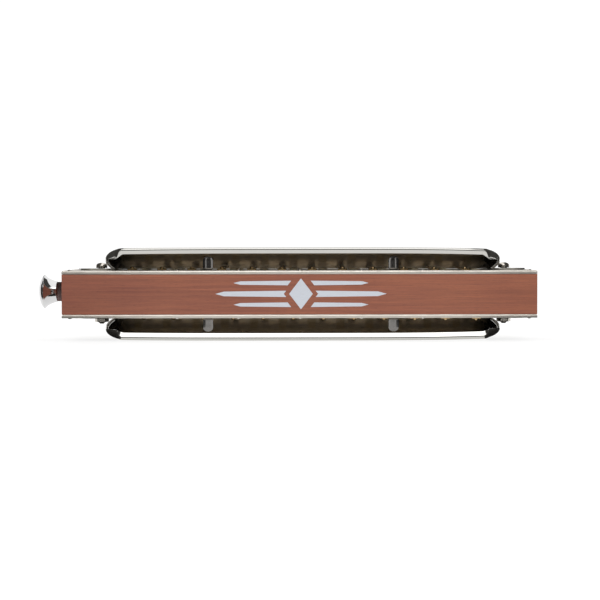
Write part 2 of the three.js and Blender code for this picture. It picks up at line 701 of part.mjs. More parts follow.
for (const [word, side] of [
  ["left", -1],
  ["right", 1],
]) {
  middle.add(coverBolt(`${word}_cover_bolt`, side));
  middle.add(coverNut(`${word}_cover_nut`, side));
  middle.add(mouthpieceScrew(`${word}_mouthpiece_screw`, side));
  middle.add(bumper(`${word}_slide_bumper`, side));
}

middle.add(slideBackPlate(), slideFrontPlate(), slide(), knob(), knobPin(), returnSpring(), mouthpiece());

export default harmonica;
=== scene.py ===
import json
import math
from functools import cache

import bmesh
import bpy
from mathutils import Matrix, Vector


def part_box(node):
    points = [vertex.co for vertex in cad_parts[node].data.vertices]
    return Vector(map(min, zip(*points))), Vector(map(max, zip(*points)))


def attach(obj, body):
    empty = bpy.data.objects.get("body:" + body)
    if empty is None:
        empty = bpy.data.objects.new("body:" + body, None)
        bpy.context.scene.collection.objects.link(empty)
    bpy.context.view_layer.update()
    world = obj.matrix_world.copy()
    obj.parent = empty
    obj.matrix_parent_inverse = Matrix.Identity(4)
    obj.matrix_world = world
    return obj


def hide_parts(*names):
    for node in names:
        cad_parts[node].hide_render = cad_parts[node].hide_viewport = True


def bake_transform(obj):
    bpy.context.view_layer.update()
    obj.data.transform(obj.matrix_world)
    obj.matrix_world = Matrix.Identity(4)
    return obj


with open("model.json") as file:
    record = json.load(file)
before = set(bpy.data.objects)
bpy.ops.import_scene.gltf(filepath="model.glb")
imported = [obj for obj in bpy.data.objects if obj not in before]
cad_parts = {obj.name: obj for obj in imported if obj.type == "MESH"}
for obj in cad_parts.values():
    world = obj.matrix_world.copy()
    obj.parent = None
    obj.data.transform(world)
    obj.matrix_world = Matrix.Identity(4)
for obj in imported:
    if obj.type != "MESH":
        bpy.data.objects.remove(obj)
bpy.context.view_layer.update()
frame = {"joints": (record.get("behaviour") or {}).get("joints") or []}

# A twelve-hole chromatic harmonica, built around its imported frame. Everything is in metres: MM turns
# the millimetres in which such an instrument is drawn into metres.
MM = 0.001
HOLES = range(1, 13)
UP = {"top": 1, "bottom": -1}

# ---------------------------------------------------------------- places, from the frame
comb_low, comb_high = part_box("comb")
MIDDLE_Z = (comb_low.z + comb_high.z) / 2
REAR_Y = comb_low.y
FRONT_Y = comb_high.y
COMB_HALF = (comb_high.z - comb_low.z) / 2
COMB_INSET = 0.03 * MM  # the comb's back is this far inside the edges of the reed plates
BODY_HALF = (comb_high.x - comb_low.x) / 2
plate_low, plate_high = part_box("top_reed_plate")
PLATE_UNDER = plate_low.z - MIDDLE_Z
PLATE_OUTER = plate_high.z - MIDDLE_Z


@cache
def middle(node):
    low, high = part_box(node)
    return (low + high) / 2


@cache
def hole_x(hole):
    """The middle of a hole's chamber: halfway between its outside reed and the valve beside it."""
    return (middle(f"top_draw_reed_{hole}").x + middle(f"top_valve_{hole}").x) / 2


PITCH = hole_x(1) - hole_x(2)
ROW_MIDDLE = (hole_x(1) + hole_x(12)) / 2
VALVE_PAST_SLOT = 0.5 * MM  # a valve covers its slot by this much at the free end
SLOT_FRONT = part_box("top_valve_1")[1].y - 2.4 * MM
CHAMBER_WIDTH = 6.9 * MM
WEB_HALF = 0.8 * MM
SLOT_WIDTH = 2.3 * MM


@cache
def slot_rear(hole):
    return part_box(f"top_valve_{hole}")[0].y + VALVE_PAST_SLOT


def reed_side(word):
    """+1 where the outside reeds of a plate stand on the +X side of their chambers, else -1."""
    return math.copysign(1, middle(f"{word}_draw_reed_6").x - hole_x(6))


REED_OFFSET = abs(middle("top_draw_reed_6").x - hole_x(6))


# ---------------------------------------------------------------- mesh helpers
SAME_PLACE = 1e-7  # vertices closer than this are one


def link_object(name, data):
    made = bpy.data.objects.new(name, data)
    bpy.context.scene.collection.objects.link(made)
    return made


def new_object(name, bm, materials):
    mesh = bpy.data.meshes.new(name)
    bm.to_mesh(mesh)
    bm.free()
    made = link_object(name, mesh)
    for material in materials:
        mesh.materials.append(material)
    return made


def shade(bm, sharp_degrees):
    """Smooth shading all over, with edges kept sharp past an angle."""
    for face in bm.faces:
        face.smooth = True
    for edge in bm.edges:
        edge.smooth = edge.calc_face_angle(0.0) < math.radians(sharp_degrees)


def mesh_object(name, bm, materials, sharp_degrees=35):
    bmesh.ops.recalc_face_normals(bm, faces=bm.faces)
    shade(bm, sharp_degrees)
    return new_object(name, bm, materials)


def bevel(made, width, segments=2, degrees=35):
    """Rounds an object's sharp edges, as a modifier."""
    modifier = made.modifiers.new("edges", "BEVEL")
    modifier.width = width
    modifier.segments = segments
    modifier.limit_method = "ANGLE"
    modifier.angle_limit = math.radians(degrees)
    modifier.use_clamp_overlap = False
    modifier.harden_normals = True
    for edge in made.data.edges:
        edge.use_edge_sharp = False
    return made


def subtract(made, cutters, sharp_degrees=35):
    """Cuts objects out of another with exact booleans, and removes them."""
    for cutter in cutters:
        modifier = made.modifiers.new("cut", "BOOLEAN")
        modifier.operation = "DIFFERENCE"
        modifier.solver = "EXACT"
        modifier.object = cutter
    bpy.context.view_layer.update()
    graph = bpy.context.evaluated_depsgraph_get()
    final = bpy.data.meshes.new_from_object(made.evaluated_get(graph))
    made.modifiers.clear()
    made.data = final
    for cutter in cutters:
        bpy.data.objects.remove(cutter)
    bm = bmesh.new()
    bm.from_mesh(final)
    bmesh.ops.remove_doubles(bm, verts=bm.verts, dist=SAME_PLACE)
    shade(bm, sharp_degrees)
    bm.to_mesh(final)
    bm.free()
    return made


def lattice(xs, ys, zs, filled):
    """A bmesh of the cells of a grid of planes: filled says, of a cell's middle, whether it is solid."""
    xs, ys, zs = (sorted(set(round(v, 7) for v in vs)) for vs in (xs, ys, zs))
    bm = bmesh.new()
    corners = {}

    def corner(i, j, k):
        if (i, j, k) not in corners:
            corners[i, j, k] = bm.verts.new((xs[i], ys[j], zs[k]))
        return corners[i, j, k]

    shape = (len(xs) - 1, len(ys) - 1, len(zs) - 1)

    def solid(i, j, k):
        if not (0 <= i < shape[0] and 0 <= j < shape[1] and 0 <= k < shape[2]):
            return False
        return filled((xs[i] + xs[i + 1]) / 2, (ys[j] + ys[j + 1]) / 2, (zs[k] + zs[k + 1]) / 2)

    sides = {
        (-1, 0, 0): ((0, 0, 0), (0, 0, 1), (0, 1, 1), (0, 1, 0)),
        (1, 0, 0): ((1, 0, 0), (1, 1, 0), (1, 1, 1), (1, 0, 1)),
        (0, -1, 0): ((0, 0, 0), (1, 0, 0), (1, 0, 1), (0, 0, 1)),
        (0, 1, 0): ((0, 1, 0), (0, 1, 1), (1, 1, 1), (1, 1, 0)),
        (0, 0, -1): ((0, 0, 0), (0, 1, 0), (1, 1, 0), (1, 0, 0)),
        (0, 0, 1): ((0, 0, 1), (1, 0, 1), (1, 1, 1), (0, 1, 1)),
    }
    for i in range(shape[0]):
        for j in range(shape[1]):
            for k in range(shape[2]):
                if not solid(i, j, k):
                    continue
                for (di, dj, dk), quad in sides.items():
                    if not solid(i + di, j + dj, k + dk):
                        bm.faces.new([corner(i + a, j + b, k + c) for a, b, c in quad])
    return bm


def box_cutter(low, high):
    return mesh_object("cutter", lattice(*zip(low, high), lambda x, y, z: True), [])


def skin(bm, rings):
    """Joins each ring to the next one. All have equally many points."""
    for a, b in zip(rings, rings[1:]):
        for i in range(len(a)):
            j = (i + 1) % len(a)
            bm.faces.new((a[i], a[j], b[j], b[i]))


def round_angles(count):
    return [2 * math.pi * i / count for i in range(count)]


def in_mm(points):
    return [(x * MM, y * MM) for x, y in points]


def loft(bm, sections):
    """Joins rings of equally many points into a closed solid, capped at both ends."""
    rings = [[bm.verts.new(p) for p in section] for section in sections]
    skin(bm, rings)
    bm.faces.new(rings[0])
    bm.faces.new(rings[-1])
    return bm


def turned(profile, segments=48):
    """A solid of revolution about Z from [radius, height] points that start and end on the axis."""
    bm = bmesh.new()
    rings = []
    for radius, height in profile:
        if radius < 1e-9:
            rings.append([bm.verts.new((0, 0, height))])
            continue
        points = ((radius * math.cos(a), radius * math.sin(a), height) for a in round_angles(segments))
        rings.append([bm.verts.new(point) for point in points])
    for a, b in zip(rings, rings[1:]):
        for i in range(segments):
            j = (i + 1) % segments
            if len(a) == 1:
                bm.faces.new((a[0], b[i], b[j]))
            elif len(b) == 1:
                bm.faces.new((a[i], b[0], a[j]))
            else:
                bm.faces.new((a[i], b[i], b[j], a[j]))
    return bm


def ring_plate(outline, hole_radius, heights, segments=48):
    """A plate round a hole: outline(angle, height) is how far its edge is from the hole's middle."""
    bm = bmesh.new()

    def ring(height, reach):
        reaches = ((a, reach(a, height)) for a in round_angles(segments))
        return [bm.verts.new((r * math.cos(a), r * math.sin(a), height)) for a, r in reaches]

    def bore(angle, height):
        return hole_radius

    rings = [ring(heights[0], bore), *(ring(h, outline) for h in heights), ring(heights[-1], bore)]
    skin(bm, [*rings, rings[0]])
    return bm


def place(made, *, at=(0, 0, 0), turn=Matrix.Identity(4)):
    """Moves an object's mesh, so that the object itself stays at the origin. turn may mirror it."""
    made.data.transform(Matrix.Translation(Vector(at)) @ turn)
    if turn.determinant() < 0:
        made.data.flip_normals()
    return made


def settle(made, nodes=(), body="harmonica"):
    """Gives a finished piece its body, and hides the CAD nodes that it stands for."""
    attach(made, body)
    if nodes:
        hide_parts(*nodes)


def smoothstep(t):
    t = min(max(t, 0.0), 1.0)
    return t * t * (3 - 2 * t)


# ---------------------------------------------------------------- materials
class Shader:
    """A node material: .add makes a node, and .principled is its shader."""

    def __init__(self, name, **principled):
        self.material = bpy.data.materials.new(name)
        self.material.use_nodes = True
        self.tree = self.material.node_tree
        self.principled = self.tree.nodes["Principled BSDF"]
        for key, value in principled.items():
            self.principled.inputs[key.replace("_", " ")].default_value = value

    def add(self, kind, inputs=None, **settings):
        node = self.tree.nodes.new(kind)
        for key, value in settings.items():
            setattr(node, key, value)
        for key, value in (inputs or {}).items():
            self.feed(node.inputs[key], value)
        return node

    def feed(self, socket, value):
        if isinstance(value, bpy.types.NodeSocket):
            self.tree.links.new(value, socket)
        else:
            socket.default_value = value

    def set(self, key, value):
        self.feed(self.principled.inputs[key], value)

    def where(self, scale=(1, 1, 1), turn=(0, 0, 0)):
        """Object coordinates in millimetres, stretched by scale."""
        source = self.add("ShaderNodeTexCoord").outputs["Object"]
        grid = tuple(s / MM for s in scale)
        inputs = {"Vector": source, "Scale": grid, "Rotation": turn}
        return self.add("ShaderNodeMapping", inputs).outputs["Vector"]

    def noise(self, where, scale=1.0, detail=4.0, roughness=0.55, distortion=0.0):
        inputs = {
            "Vector": where, "Scale": scale, "Detail": detail,
            "Roughness": roughness, "Distortion": distortion,
        }
        return self.add("ShaderNodeTexNoise", inputs).outputs["Fac"]

    def spread(self, value, low, high, start=0.35, end=0.65):
        """Maps a texture's middle range to low..high."""
        inputs = {"Value": value, "From Min": start, "From Max": end, "To Min": low, "To Max": high}
        return self.add("ShaderNodeMapRange", inputs).outputs["Result"]

    def ramp(self, value, stops):
        node = self.add("ShaderNodeValToRGB", {"Fac": value})
        elements = node.color_ramp.elements
        elements[0].position, elements[0].color = stops[0][0], (*stops[0][1], 1)
        elements[1].position, elements[1].color = stops[-1][0], (*stops[-1][1], 1)
        for position, colour in stops[1:-1]:
            elements.new(position).color = (*colour, 1)
        return node.outputs["Color"]

    def along(self, axis):
        """How far along an axis a place is, in millimetres."""
        return self.add("ShaderNodeSeparateXYZ", {"Vector": self.where()}).outputs[axis]

    def mix(self, factor, a, b):
        node = self.add("ShaderNodeMix", data_type="RGBA")
        self.feed(node.inputs[0], factor)
        self.feed(node.inputs[6], a if isinstance(a, bpy.types.NodeSocket) else (*a, 1))
        self.feed(node.inputs[7], b if isinstance(b, bpy.types.NodeSocket) else (*b, 1))
        return node.outputs[2]

    def math(self, operation, a, b):
        return self.add("ShaderNodeMath", {0: a, 1: b}, operation=operation).outputs[0]

    def bump(self, height, strength, distance):
        inputs = {"Height": height, "Strength": strength, "Distance": distance}
        self.set("Normal", self.add("ShaderNodeBump", inputs).outputs["Normal"])


def plated_metal(name, colour, roughness, smear=0.05, wave=0.0):
    """Polished plating: handling smears in its gloss, hairline scratches and a slow waviness."""
    s = Shader(name, Metallic=1.0)
    smears = s.noise(s.where((0.35, 0.9, 0.9)), 0.8, 5)
    haze = s.noise(s.where(), 2.6, 3)
    mottle = s.mix(s.spread(haze, 0.0, 1.0), [c * 0.955 for c in colour], colour)
    s.set("Base Color", mottle)
    s.set("Roughness", s.spread(smears, roughness, roughness + smear, 0.4, 0.75))
    scratches = s.noise(s.where((0.25, 9, 9), (0, 0, 0.3)), 2.0, 2)
    rolling = s.noise(s.where((0.08, 0.2, 0.2)), 1.0, 1)
    height = s.math("ADD", s.math("MULTIPLY", scratches, 0.004), s.math("MULTIPLY", rolling, wave))
    s.bump(height, 0.25, 0.2 * MM)
    return s.material


# Painted shade: the near-black that the covers' insides fade to near their ends, standing in for the dark
# reflections there.
PAINTED_END_SHADE = (0.12, 0.11, 0.095)


def sawn_metal(name, colour, dark, roughness, grain=(0.15, 6, 6), metallic=1.0, relief=0.3, ends=None):
    """Rolled or sawn sheet: fine lines along its length, and darker patches of wear.

    ends is how far from the middle of the row of holes, in millimetres, a painted shade starts and is full:
    the base colour goes to near-black there, standing in for the dark reflections at a cover's ends.
    """
    s = Shader(name, Metallic=metallic)
    lines = s.noise(s.where(grain), 1.6, 5)
    patches = s.noise(s.where((0.5, 0.5, 0.5)), 0.55, 4)
    tone = s.mix(s.spread(lines, 0, 1), dark, colour)
    wear_and_end_shade = s.mix(s.spread(patches, 0.0, 0.35), tone, dark)
    # Painted shade: towards the ends, the base colour fades to near-black.
    if ends:
        away = s.math("ABSOLUTE", s.math("SUBTRACT", s.along("X"), ROW_MIDDLE / MM), 0.0)
        wear_and_end_shade = s.mix(s.spread(away, 0, 1, *ends), wear_and_end_shade, PAINTED_END_SHADE)
    s.set("Base Color", wear_and_end_shade)
    s.set("Roughness", s.spread(lines, roughness + 0.12, roughness - 0.04))
    s.bump(lines, relief, 0.02 * MM)
    return s.material


def pear_wood(name):
    """Stained pearwood: long fine grain, darker growth streaks, short pores and a satin seal.

    The colour is a little paler towards +X and along the upper edge.
    """
    s = Shader(name)
    streaks = s.noise(s.where((0.02, 0.8, 1.1), (0, 0.012, 0)), 1.0, 7, 0.66, 0.35)
    fibres = s.noise(s.where((0.1, 5.5, 6.5)), 1.0, 6, 0.7)
    cloud = s.noise(s.where((0.035, 0.12, 0.14)), 1.0, 3)
    pores = s.noise(s.where((0.55, 11, 13)), 1.0, 2)
    stained = s.ramp(streaks, [
        (0.28, (0.150, 0.038, 0.022)),
        (0.43, (0.215, 0.059, 0.033)),
        (0.57, (0.275, 0.080, 0.043)),
        (0.72, (0.345, 0.108, 0.059)),
    ])
    warm = s.mix(s.spread(cloud, 0, 0.5), stained, (0.31, 0.100, 0.046))
    paler = s.math("ADD", s.spread(s.along("X"), 0, 0.3, -70, 70), s.spread(s.along("Z"), 0, 0.15, 15, 20))
    pale = s.mix(paler, warm, (0.44, 0.142, 0.060))
    fine = s.mix(s.spread(fibres, 0.6, 0.0), pale, (0.155, 0.048, 0.030))
    deep = s.mix(s.spread(pores, 0.5, 0.0, 0.3, 0.42), fine, (0.09, 0.026, 0.016))
    s.set("Base Color", deep)
    s.set("Roughness", s.spread(fibres, 0.5, 0.36))
    s.set("Coat Weight", 0.12)
    s.set("Coat Roughness", 0.3)
    grain = s.math("ADD", s.math("MULTIPLY", fibres, 0.6), s.math("MULTIPLY", pores, 0.4))
    s.bump(grain, 0.35, 0.03 * MM)
    return s.material


def film(name):
    """Valve film: cream plastic with faint fibres, a little light passing through."""
    s = Shader(name, Roughness=0.45)
    fibres = s.noise(s.where((1.5, 0.4, 1)), 3.0, 5)
    s.set("Base Color", s.mix(s.spread(fibres, 0, 1), (0.60, 0.51, 0.34), (0.74, 0.65, 0.46)))
    s.set("Subsurface Weight", 0.15)
    s.set("Subsurface Radius", (0.4 * MM, 0.3 * MM, 0.2 * MM))
    s.bump(fibres, 0.2, 0.02 * MM)
    return s.material


def print_ink(name):
    """Silver-white printed ink: tiny metallic flecks, thin where the wood's pores take it up."""
    s = Shader(name)
    flecks = s.noise(s.where(), 14.0, 2)
    thin = s.noise(s.where((0.3, 3, 4)), 1.4, 4)
    silver = s.mix(s.spread(flecks, 0, 1), (0.53, 0.56, 0.62), (0.64, 0.665, 0.71))
    s.set("Base Color", s.mix(s.spread(thin, 0.22, 0.0, 0.3, 0.42), silver, (0.4, 0.34, 0.33)))
    s.set("Metallic", s.spread(flecks, 0.15, 0.45))
    s.set("Roughness", s.spread(flecks, 0.42, 0.55))
    s.bump(thin, 0.15, 0.02 * MM)
    return s.material


def rubber(name):
    s = Shader(name, Roughness=0.7)
    grain = s.noise(s.where(), 6.0, 4)
    s.set("Base Color", s.mix(s.spread(grain, 0, 1), (0.012, 0.012, 0.013), (0.03, 0.03, 0.031)))
    s.bump(grain, 0.3, 0.02 * MM)
    return s.material


def pale_floor(name):
    """A white sheet that is lit from below as well, as on a light table, so that shadows are faint."""
    s = Shader(name, Roughness=0.7)
    s.set("Specular IOR Level", 0.1)
    mottle = s.noise(s.where((0.02, 0.02, 0.02)), 1.0, 3)
    s.set("Base Color", s.mix(s.spread(mottle, 0, 1), (0.21, 0.21, 0.209), (0.23, 0.23, 0.229)))
    s.set("Emission Color", (1, 1, 1, 1))
    s.set("Emission Strength", 0.80)
    return s.material


CHROME = plated_metal("chrome", (0.585, 0.575, 0.545), 0.03, 0.05, 0.5)
# The covers' insides carry painted shade: near-black towards their ends, standing in for dark reflections.
COVER_INSIDE = sawn_metal(
    "cover_inside", (0.86, 0.77, 0.63), (0.62, 0.54, 0.43), 0.1, metallic=0.82, ends=(53.5, 58.5)
)
MOUTHPIECE_CHROME = plated_metal("mouthpiece_chrome", (0.60, 0.59, 0.575), 0.04, 0.06, 0.3)
KNOB_CHROME = plated_metal("knob_chrome", (0.68, 0.678, 0.68), 0.03, 0.04)
NICKEL = plated_metal("nickel", (0.66, 0.62, 0.56), 0.18, 0.14)
HOUSING_METAL = plated_metal("housing_metal", (0.52, 0.50, 0.48), 0.07, 0.06)
SLIDE_METAL = plated_metal("slide_metal", (0.24, 0.16, 0.15), 0.08, 0.06)
PLATE_METAL = sawn_metal("reed_plate_metal", (0.80, 0.76, 0.69), (0.68, 0.63, 0.56), 0.40, relief=0.16)
REED_BRASS = sawn_metal("reed_brass", (0.70, 0.52, 0.29), (0.44, 0.31, 0.16), 0.15, (5, 0.4, 5))
SUPPORT_STEEL = plated_metal("support_steel", (0.21, 0.2, 0.19), 0.12, 0.08)
SPRING_STEEL = plated_metal("spring_steel", (0.42, 0.42, 0.44), 0.2, 0.15)
PEAR_WOOD = pear_wood("pear_wood")
VALVE_FILM = film("valve_film")
SILVER_INK = print_ink("silver_ink")
BUMPER_RUBBER = rubber("bumper_rubber")


# ---------------------------------------------------------------- comb
spring_low, spring_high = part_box("return_spring")
POCKET_LEFT = spring_low.x - 1.5 * MM
POCKET_RIGHT = spring_high.x + 0.1 * MM
POCKET_BACK = spring_low.y - 0.65 * MM
POCKET_HALF = 1.6 * MM


def chamber_rear(hole):
    return slot_rear(hole) - 1.0 * MM


def make_comb():
    """The comb's grid of planes is filled except in its chambers and the spring's pocket."""
    half = CHAMBER_WIDTH / 2
    walls = [hole_x(h) + s * half for h in HOLES for s in (-1, 1)]
    xs = [comb_low.x, comb_high.x, POCKET_LEFT, POCKET_RIGHT, *walls]
    ys = [comb_low.y + COMB_INSET, comb_high.y, POCKET_BACK, *(chamber_rear(h) for h in HOLES)]
    levels = (-COMB_HALF, -POCKET_HALF, -WEB_HALF, WEB_HALF, POCKET_HALF, COMB_HALF)

    def wood(x, y, z):
        height = abs(z - MIDDLE_Z)
        if POCKET_LEFT < x < POCKET_RIGHT and y > POCKET_BACK and height < POCKET_HALF:
            return False
        if height < WEB_HALF:
            return True
        return not any(abs(x - hole_x(h)) < half and y > chamber_rear(h) for h in HOLES)

    bm = lattice(xs, ys, [MIDDLE_Z + level for level in levels], wood)
    made = bevel(mesh_object("pearwood_comb", bm, [PEAR_WOOD]), 0.16 * MM, 3)
    settle(made, ["comb"])


# ---------------------------------------------------------------- reed plates
NAIL_ROW_Y = REAR_Y + 1.0 * MM
SHEAR_HIGH = 0.42 * MM  # the plates are sheared from above, which leaves their upper edges slanted
SHEAR_DEEP = 0.18 * MM


def nail_places():
    """Nails stand in the walls between chambers, along the back edge, and at the plate's corners."""
    walls = [hole_x(h) - PITCH / 2 - 0.85 * MM for h in (10, 8, 6, 4, 2)]
    rear = [(x, NAIL_ROW_Y) for x in walls]
    front = [(x, FRONT_Y - 1.4 * MM) for x in walls]
    corner_x, corner_y = BODY_HALF - 2.2 * MM, FRONT_Y - 2.4 * MM
    corners = [(sx * corner_x, sy * corner_y) for sx in (-1, 1) for sy in (-1, 1)]
    return rear + front + corners


def make_reed_plate(word):
    node = f"{word}_reed_plate"
    low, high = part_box(node)
    side = reed_side(word)
    slots = []
    for h in HOLES:
        for offset in (-REED_OFFSET, REED_OFFSET):
            x = hole_x(h) + side * offset
            slots.append((x - SLOT_WIDTH / 2, x + SLOT_WIDTH / 2, slot_rear(h)))
    xs = [low.x, high.x, *(s[0] for s in slots), *(s[1] for s in slots)]
    ys = [low.y, high.y, SLOT_FRONT, *(s[2] for s in slots)]

    def metal(x, y, z):
        return y > SLOT_FRONT or not any(a < x < b and y > rear for a, b, rear in slots)

    bm = lattice(xs, ys, (low.z, high.z - SHEAR_HIGH, high.z), metal)
    for v in bm.verts:
        if v.co.z > high.z - 1e-6:
            v.co.x = min(max(v.co.x, low.x + SHEAR_DEEP), high.x - SHEAR_DEEP)
            v.co.y = min(max(v.co.y, low.y + SHEAR_DEEP), high.y - SHEAR_DEEP)
    made = bevel(mesh_object(f"{word}_plate", bm, [PLATE_METAL]), 0.05 * MM, 2, 15)
    settle(made, [node])
    face = MIDDLE_Z + UP[word] * PLATE_OUTER
    dome = in_mm([(0, -0.5), (0.5, -0.5), (0.62, 0.02), (0.6, 0.12), (0.45, 0.26), (0.2, 0.33), (0, 0.34)])
    for i, (x, y) in enumerate(nail_places(), 1):
        made = mesh_object(f"{word}_plate_nail_{i}", turned(dome, 20), [NICKEL])
        place(made, at=(x, y, face), turn=Matrix.Diagonal((1, 1, UP[word], 1)))
        settle(made)


# ---------------------------------------------------------------- reeds, rivets and valves
TONGUE_WIDTH = 2.05 * MM
PAD_WIDTH = 2.8 * MM
PAD_LENGTH = 3.2 * MM
RIVET_BEHIND = 2.0 * MM
VALVE_GLUED = 2.2 * MM
VALVE_STRIPS = (  # share of the slot's length, then height, lift at the free end, thickness and width in mm
    ("film", 1.0, 0.01, 0.12, 0.09, 2.75),
    ("backing", 0.8, 0.11, 0.2, 0.07, 1.6),
)


def reed_mesh(length, hole):
    """A reed on Z = 0 with its rivet at the origin and its tip towards +Y.

    The root is a thick pad that narrows to the tongue; low reeds are thicker again at their tips.
    """
    tip_y = RIVET_BEHIND + length - 0.15 * MM
    low_note = (12 - hole) / 11
    rise = 0.35 * MM
    waist = (0.2 - 0.05 * low_note) * MM
    tip = (0.14 + 0.2 * low_note) * MM
    pad = 0.42 * MM
    half_pad, half_tongue = PAD_WIDTH / 2, TONGUE_WIDTH / 2
    stations = [
        (-PAD_LENGTH / 2, half_pad - 0.25 * MM, 0, pad - 0.05 * MM),
        (-PAD_LENGTH / 2 + 0.2 * MM, half_pad, 0, pad),
        (PAD_LENGTH / 2 - 0.5 * MM, half_pad, 0, pad),
        (PAD_LENGTH / 2, half_tongue + 0.1 * MM, 0.01 * MM, pad - 0.06 * MM),
        (PAD_LENGTH / 2 + 0.5 * MM, half_tongue, 0.02 * MM, waist + 0.08 * MM),
    ]
    start = stations[-1][0]
    steps = 8
    for i in range(1, steps + 1):
        t = i / steps
        thick = waist + (tip - waist) * smoothstep((t - 0.55) / 0.35)
        stations.append((start + (tip_y - start) * t, half_tongue, 0.02 * MM + rise * t * t, thick))
    sections = []
    for y, half, under, thick in stations:
        nick = min(0.05 * MM, thick * 0.3)
        sections.append([
            (-half, y, under + nick), (-half + nick, y, under), (half - nick, y, under),
            (half, y, under + nick), (half, y, under + thick - nick), (half - nick, y, under + thick),
            (-half + nick, y, under + thick), (-half, y, under + thick - nick),
        ])
    return loft(bmesh.new(), sections)


def rivet_mesh():
    """A rivet's upset head: a low drum with a rounded, slightly dished top."""
    side = [(0, 0), (0.66, 0), (0.68, 0.1), (0.64, 0.34)]
    profile = [*side, (0.52, 0.52), (0.34, 0.6), (0.16, 0.57), (0, 0.55)]
    return turned(in_mm(profile), 24)


def facing(direction, x, y, z, backwards=False):
    """Where to place a reed or valve that lies on a face looking up or down."""
    turn = Matrix.Identity(4)
    if backwards:
        turn = Matrix.Rotation(math.pi, 4, "Z")
    if direction < 0:
        turn = Matrix.Rotation(math.pi, 4, "Y") @ turn
    return {"at": (x, y, z), "turn": turn}


def make_reed(name, hole, x, y, z, direction, backwards=False, nodes=()):
    length = SLOT_FRONT - slot_rear(hole)
    where = facing(direction, x, y, z, backwards)
    reed = place(mesh_object(name, reed_mesh(length, hole), [REED_BRASS]), **where)
    settle(reed, nodes)
    rivet = mesh_object(f"{name}_rivet", rivet_mesh(), [REED_BRASS])
    where["at"] = (x, y, z + direction * 0.4 * MM)
    settle(place(rivet, **where))


def make_valve(name, hole, x, z, direction, nodes=()):
    """Two strips glued down at the slot's front end. Both lift a little towards their free ends."""
    length = SLOT_FRONT - slot_rear(hole)
    steps = 10
    for part, share, base, lift, thick, width in VALVE_STRIPS:
        sections = []
        for i in range(steps + 1):
            y = VALVE_GLUED - (VALVE_GLUED + length * share) * i / steps
            under = (base + lift * max(0.0, -y / length) ** 1.6) * MM
            over = under + thick * MM
            half = width / 2 * MM * (0.82 if i in (0, steps) else 1.0)
            sections.append([(-half, y, under), (half, y, under), (half, y, over), (-half, y, over)])
        made = mesh_object(f"{name}_{part}", loft(bmesh.new(), sections), [VALVE_FILM])
        place(made, **facing(direction, x, SLOT_FRONT, z))
        settle(made, nodes if part == "film" else ())


def make_reeds(word):
    up, side = UP[word], reed_side(word)
    outer = MIDDLE_Z + up * (PLATE_OUTER + 0.03 * MM)
    inner = MIDDLE_Z + up * (PLATE_UNDER - 0.03 * MM)
    for h in HOLES:
        draw_x = hole_x(h) + side * REED_OFFSET
        blow_x = hole_x(h) - side * REED_OFFSET
        rear_rivet = slot_rear(h) - RIVET_BEHIND
        front_rivet = SLOT_FRONT + RIVET_BEHIND
        draw = f"{word}_draw_reed_{h}"
        make_reed(f"{word}_outside_reed_{h}", h, draw_x, rear_rivet, outer, up, nodes=[draw])
        make_reed(f"{word}_inside_reed_{h}", h, blow_x, front_rivet, inner, -up, backwards=True)
        covered = [f"top_valve_{h}"] if word == "top" else []
        make_valve(f"{word}_outside_valve_{h}", h, blow_x, outer, up, nodes=covered)
        make_valve(f"{word}_inside_valve_{h}", h, draw_x, inner, -up)


# ---------------------------------------------------------------- covers
SHEET = 0.5 * MM
LIP = {"top": 1.86 * MM, "bottom": 2.27 * MM}
LIP_TUCK = math.tan(math.radians(22))
SHOULDER = 0.74 * MM
LIP_UPRIGHT = 0.13 * MM  # the lip first goes straight, and then tucks in
BULGE_HALF = 60.8 * MM
CROWN_HALF = 54.8 * MM
FOOT_SHARE = 0.51  # how much of the bulge is left at the foot
BULGE_SHARE = 0.5  # the height of the bulge's widest point, as a share of the cover's rise
DOME_DEPTH = 5.0 * MM


def cover_outline(crown_lip):
    """The cover's outline from end to end, as (x, height share, lip, inset, deep) at each point.

    lip is the width of the turned-in lip there, and inset and deep are how far the rounding that
    leads to it goes inwards and forwards: a tight fillet on the crown, and a dome at the ends.
    """
    bulge = BULGE_HALF - CROWN_HALF
    quarter = []
    for i in range(10):
        t = 1 - i / 10
        lip = 1.3 - 0.6 * t
        deep = DOME_DEPTH * (1 - 0.45 * t)
        x = CROWN_HALF + bulge * (1 - (1 - FOOT_SHARE) * t * t)
        quarter.append((x, BULGE_SHARE * (1 - t), lip * MM, lip * MM, deep))
    for i in range(25):
        angle = math.radians(90 * i / 24)
        turned_up = i / 24
        lip = 1.3 + (2.75 - 1.3) * math.sin(math.pi * min(turned_up * 1.35, 1) / 2) ** 1.2
        lip = lip + (crown_lip / MM - lip) * smoothstep((turned_up - 0.72) / 0.28)
        dome = 1 - smoothstep((turned_up - 0.66) / 0.26)
        inset = SHOULDER + (lip * MM - SHOULDER) * dome
        deep = SHOULDER + (DOME_DEPTH - SHOULDER) * dome
        x = CROWN_HALF + bulge * math.cos(angle)
        share = BULGE_SHARE + (1 - BULGE_SHARE) * math.sin(angle)
        quarter.append((x, share, lip * MM, inset, deep))
    steps = 22
    even = [CROWN_HALF * (1 - 2 * i / steps) for i in range(1, steps)]
    close = [CROWN_HALF - step * MM for step in (0.3, 0.8, 1.8)]
    places = sorted([*even, *close, *(-x for x in close)], reverse=True)
    crown = [(x, 1.0, crown_lip, SHOULDER, SHOULDER) for x in places]
    return quarter + crown + [(-p[0], *p[1:]) for p in reversed(quarter)]


def crown_sag(x):
    """How much lower the crown is at x than in its middle: the sheet is pulled down at its ends."""
    return (0.45 if x > 0 else 0.2) * MM * min(abs(x) / CROWN_HALF, 1) ** 4


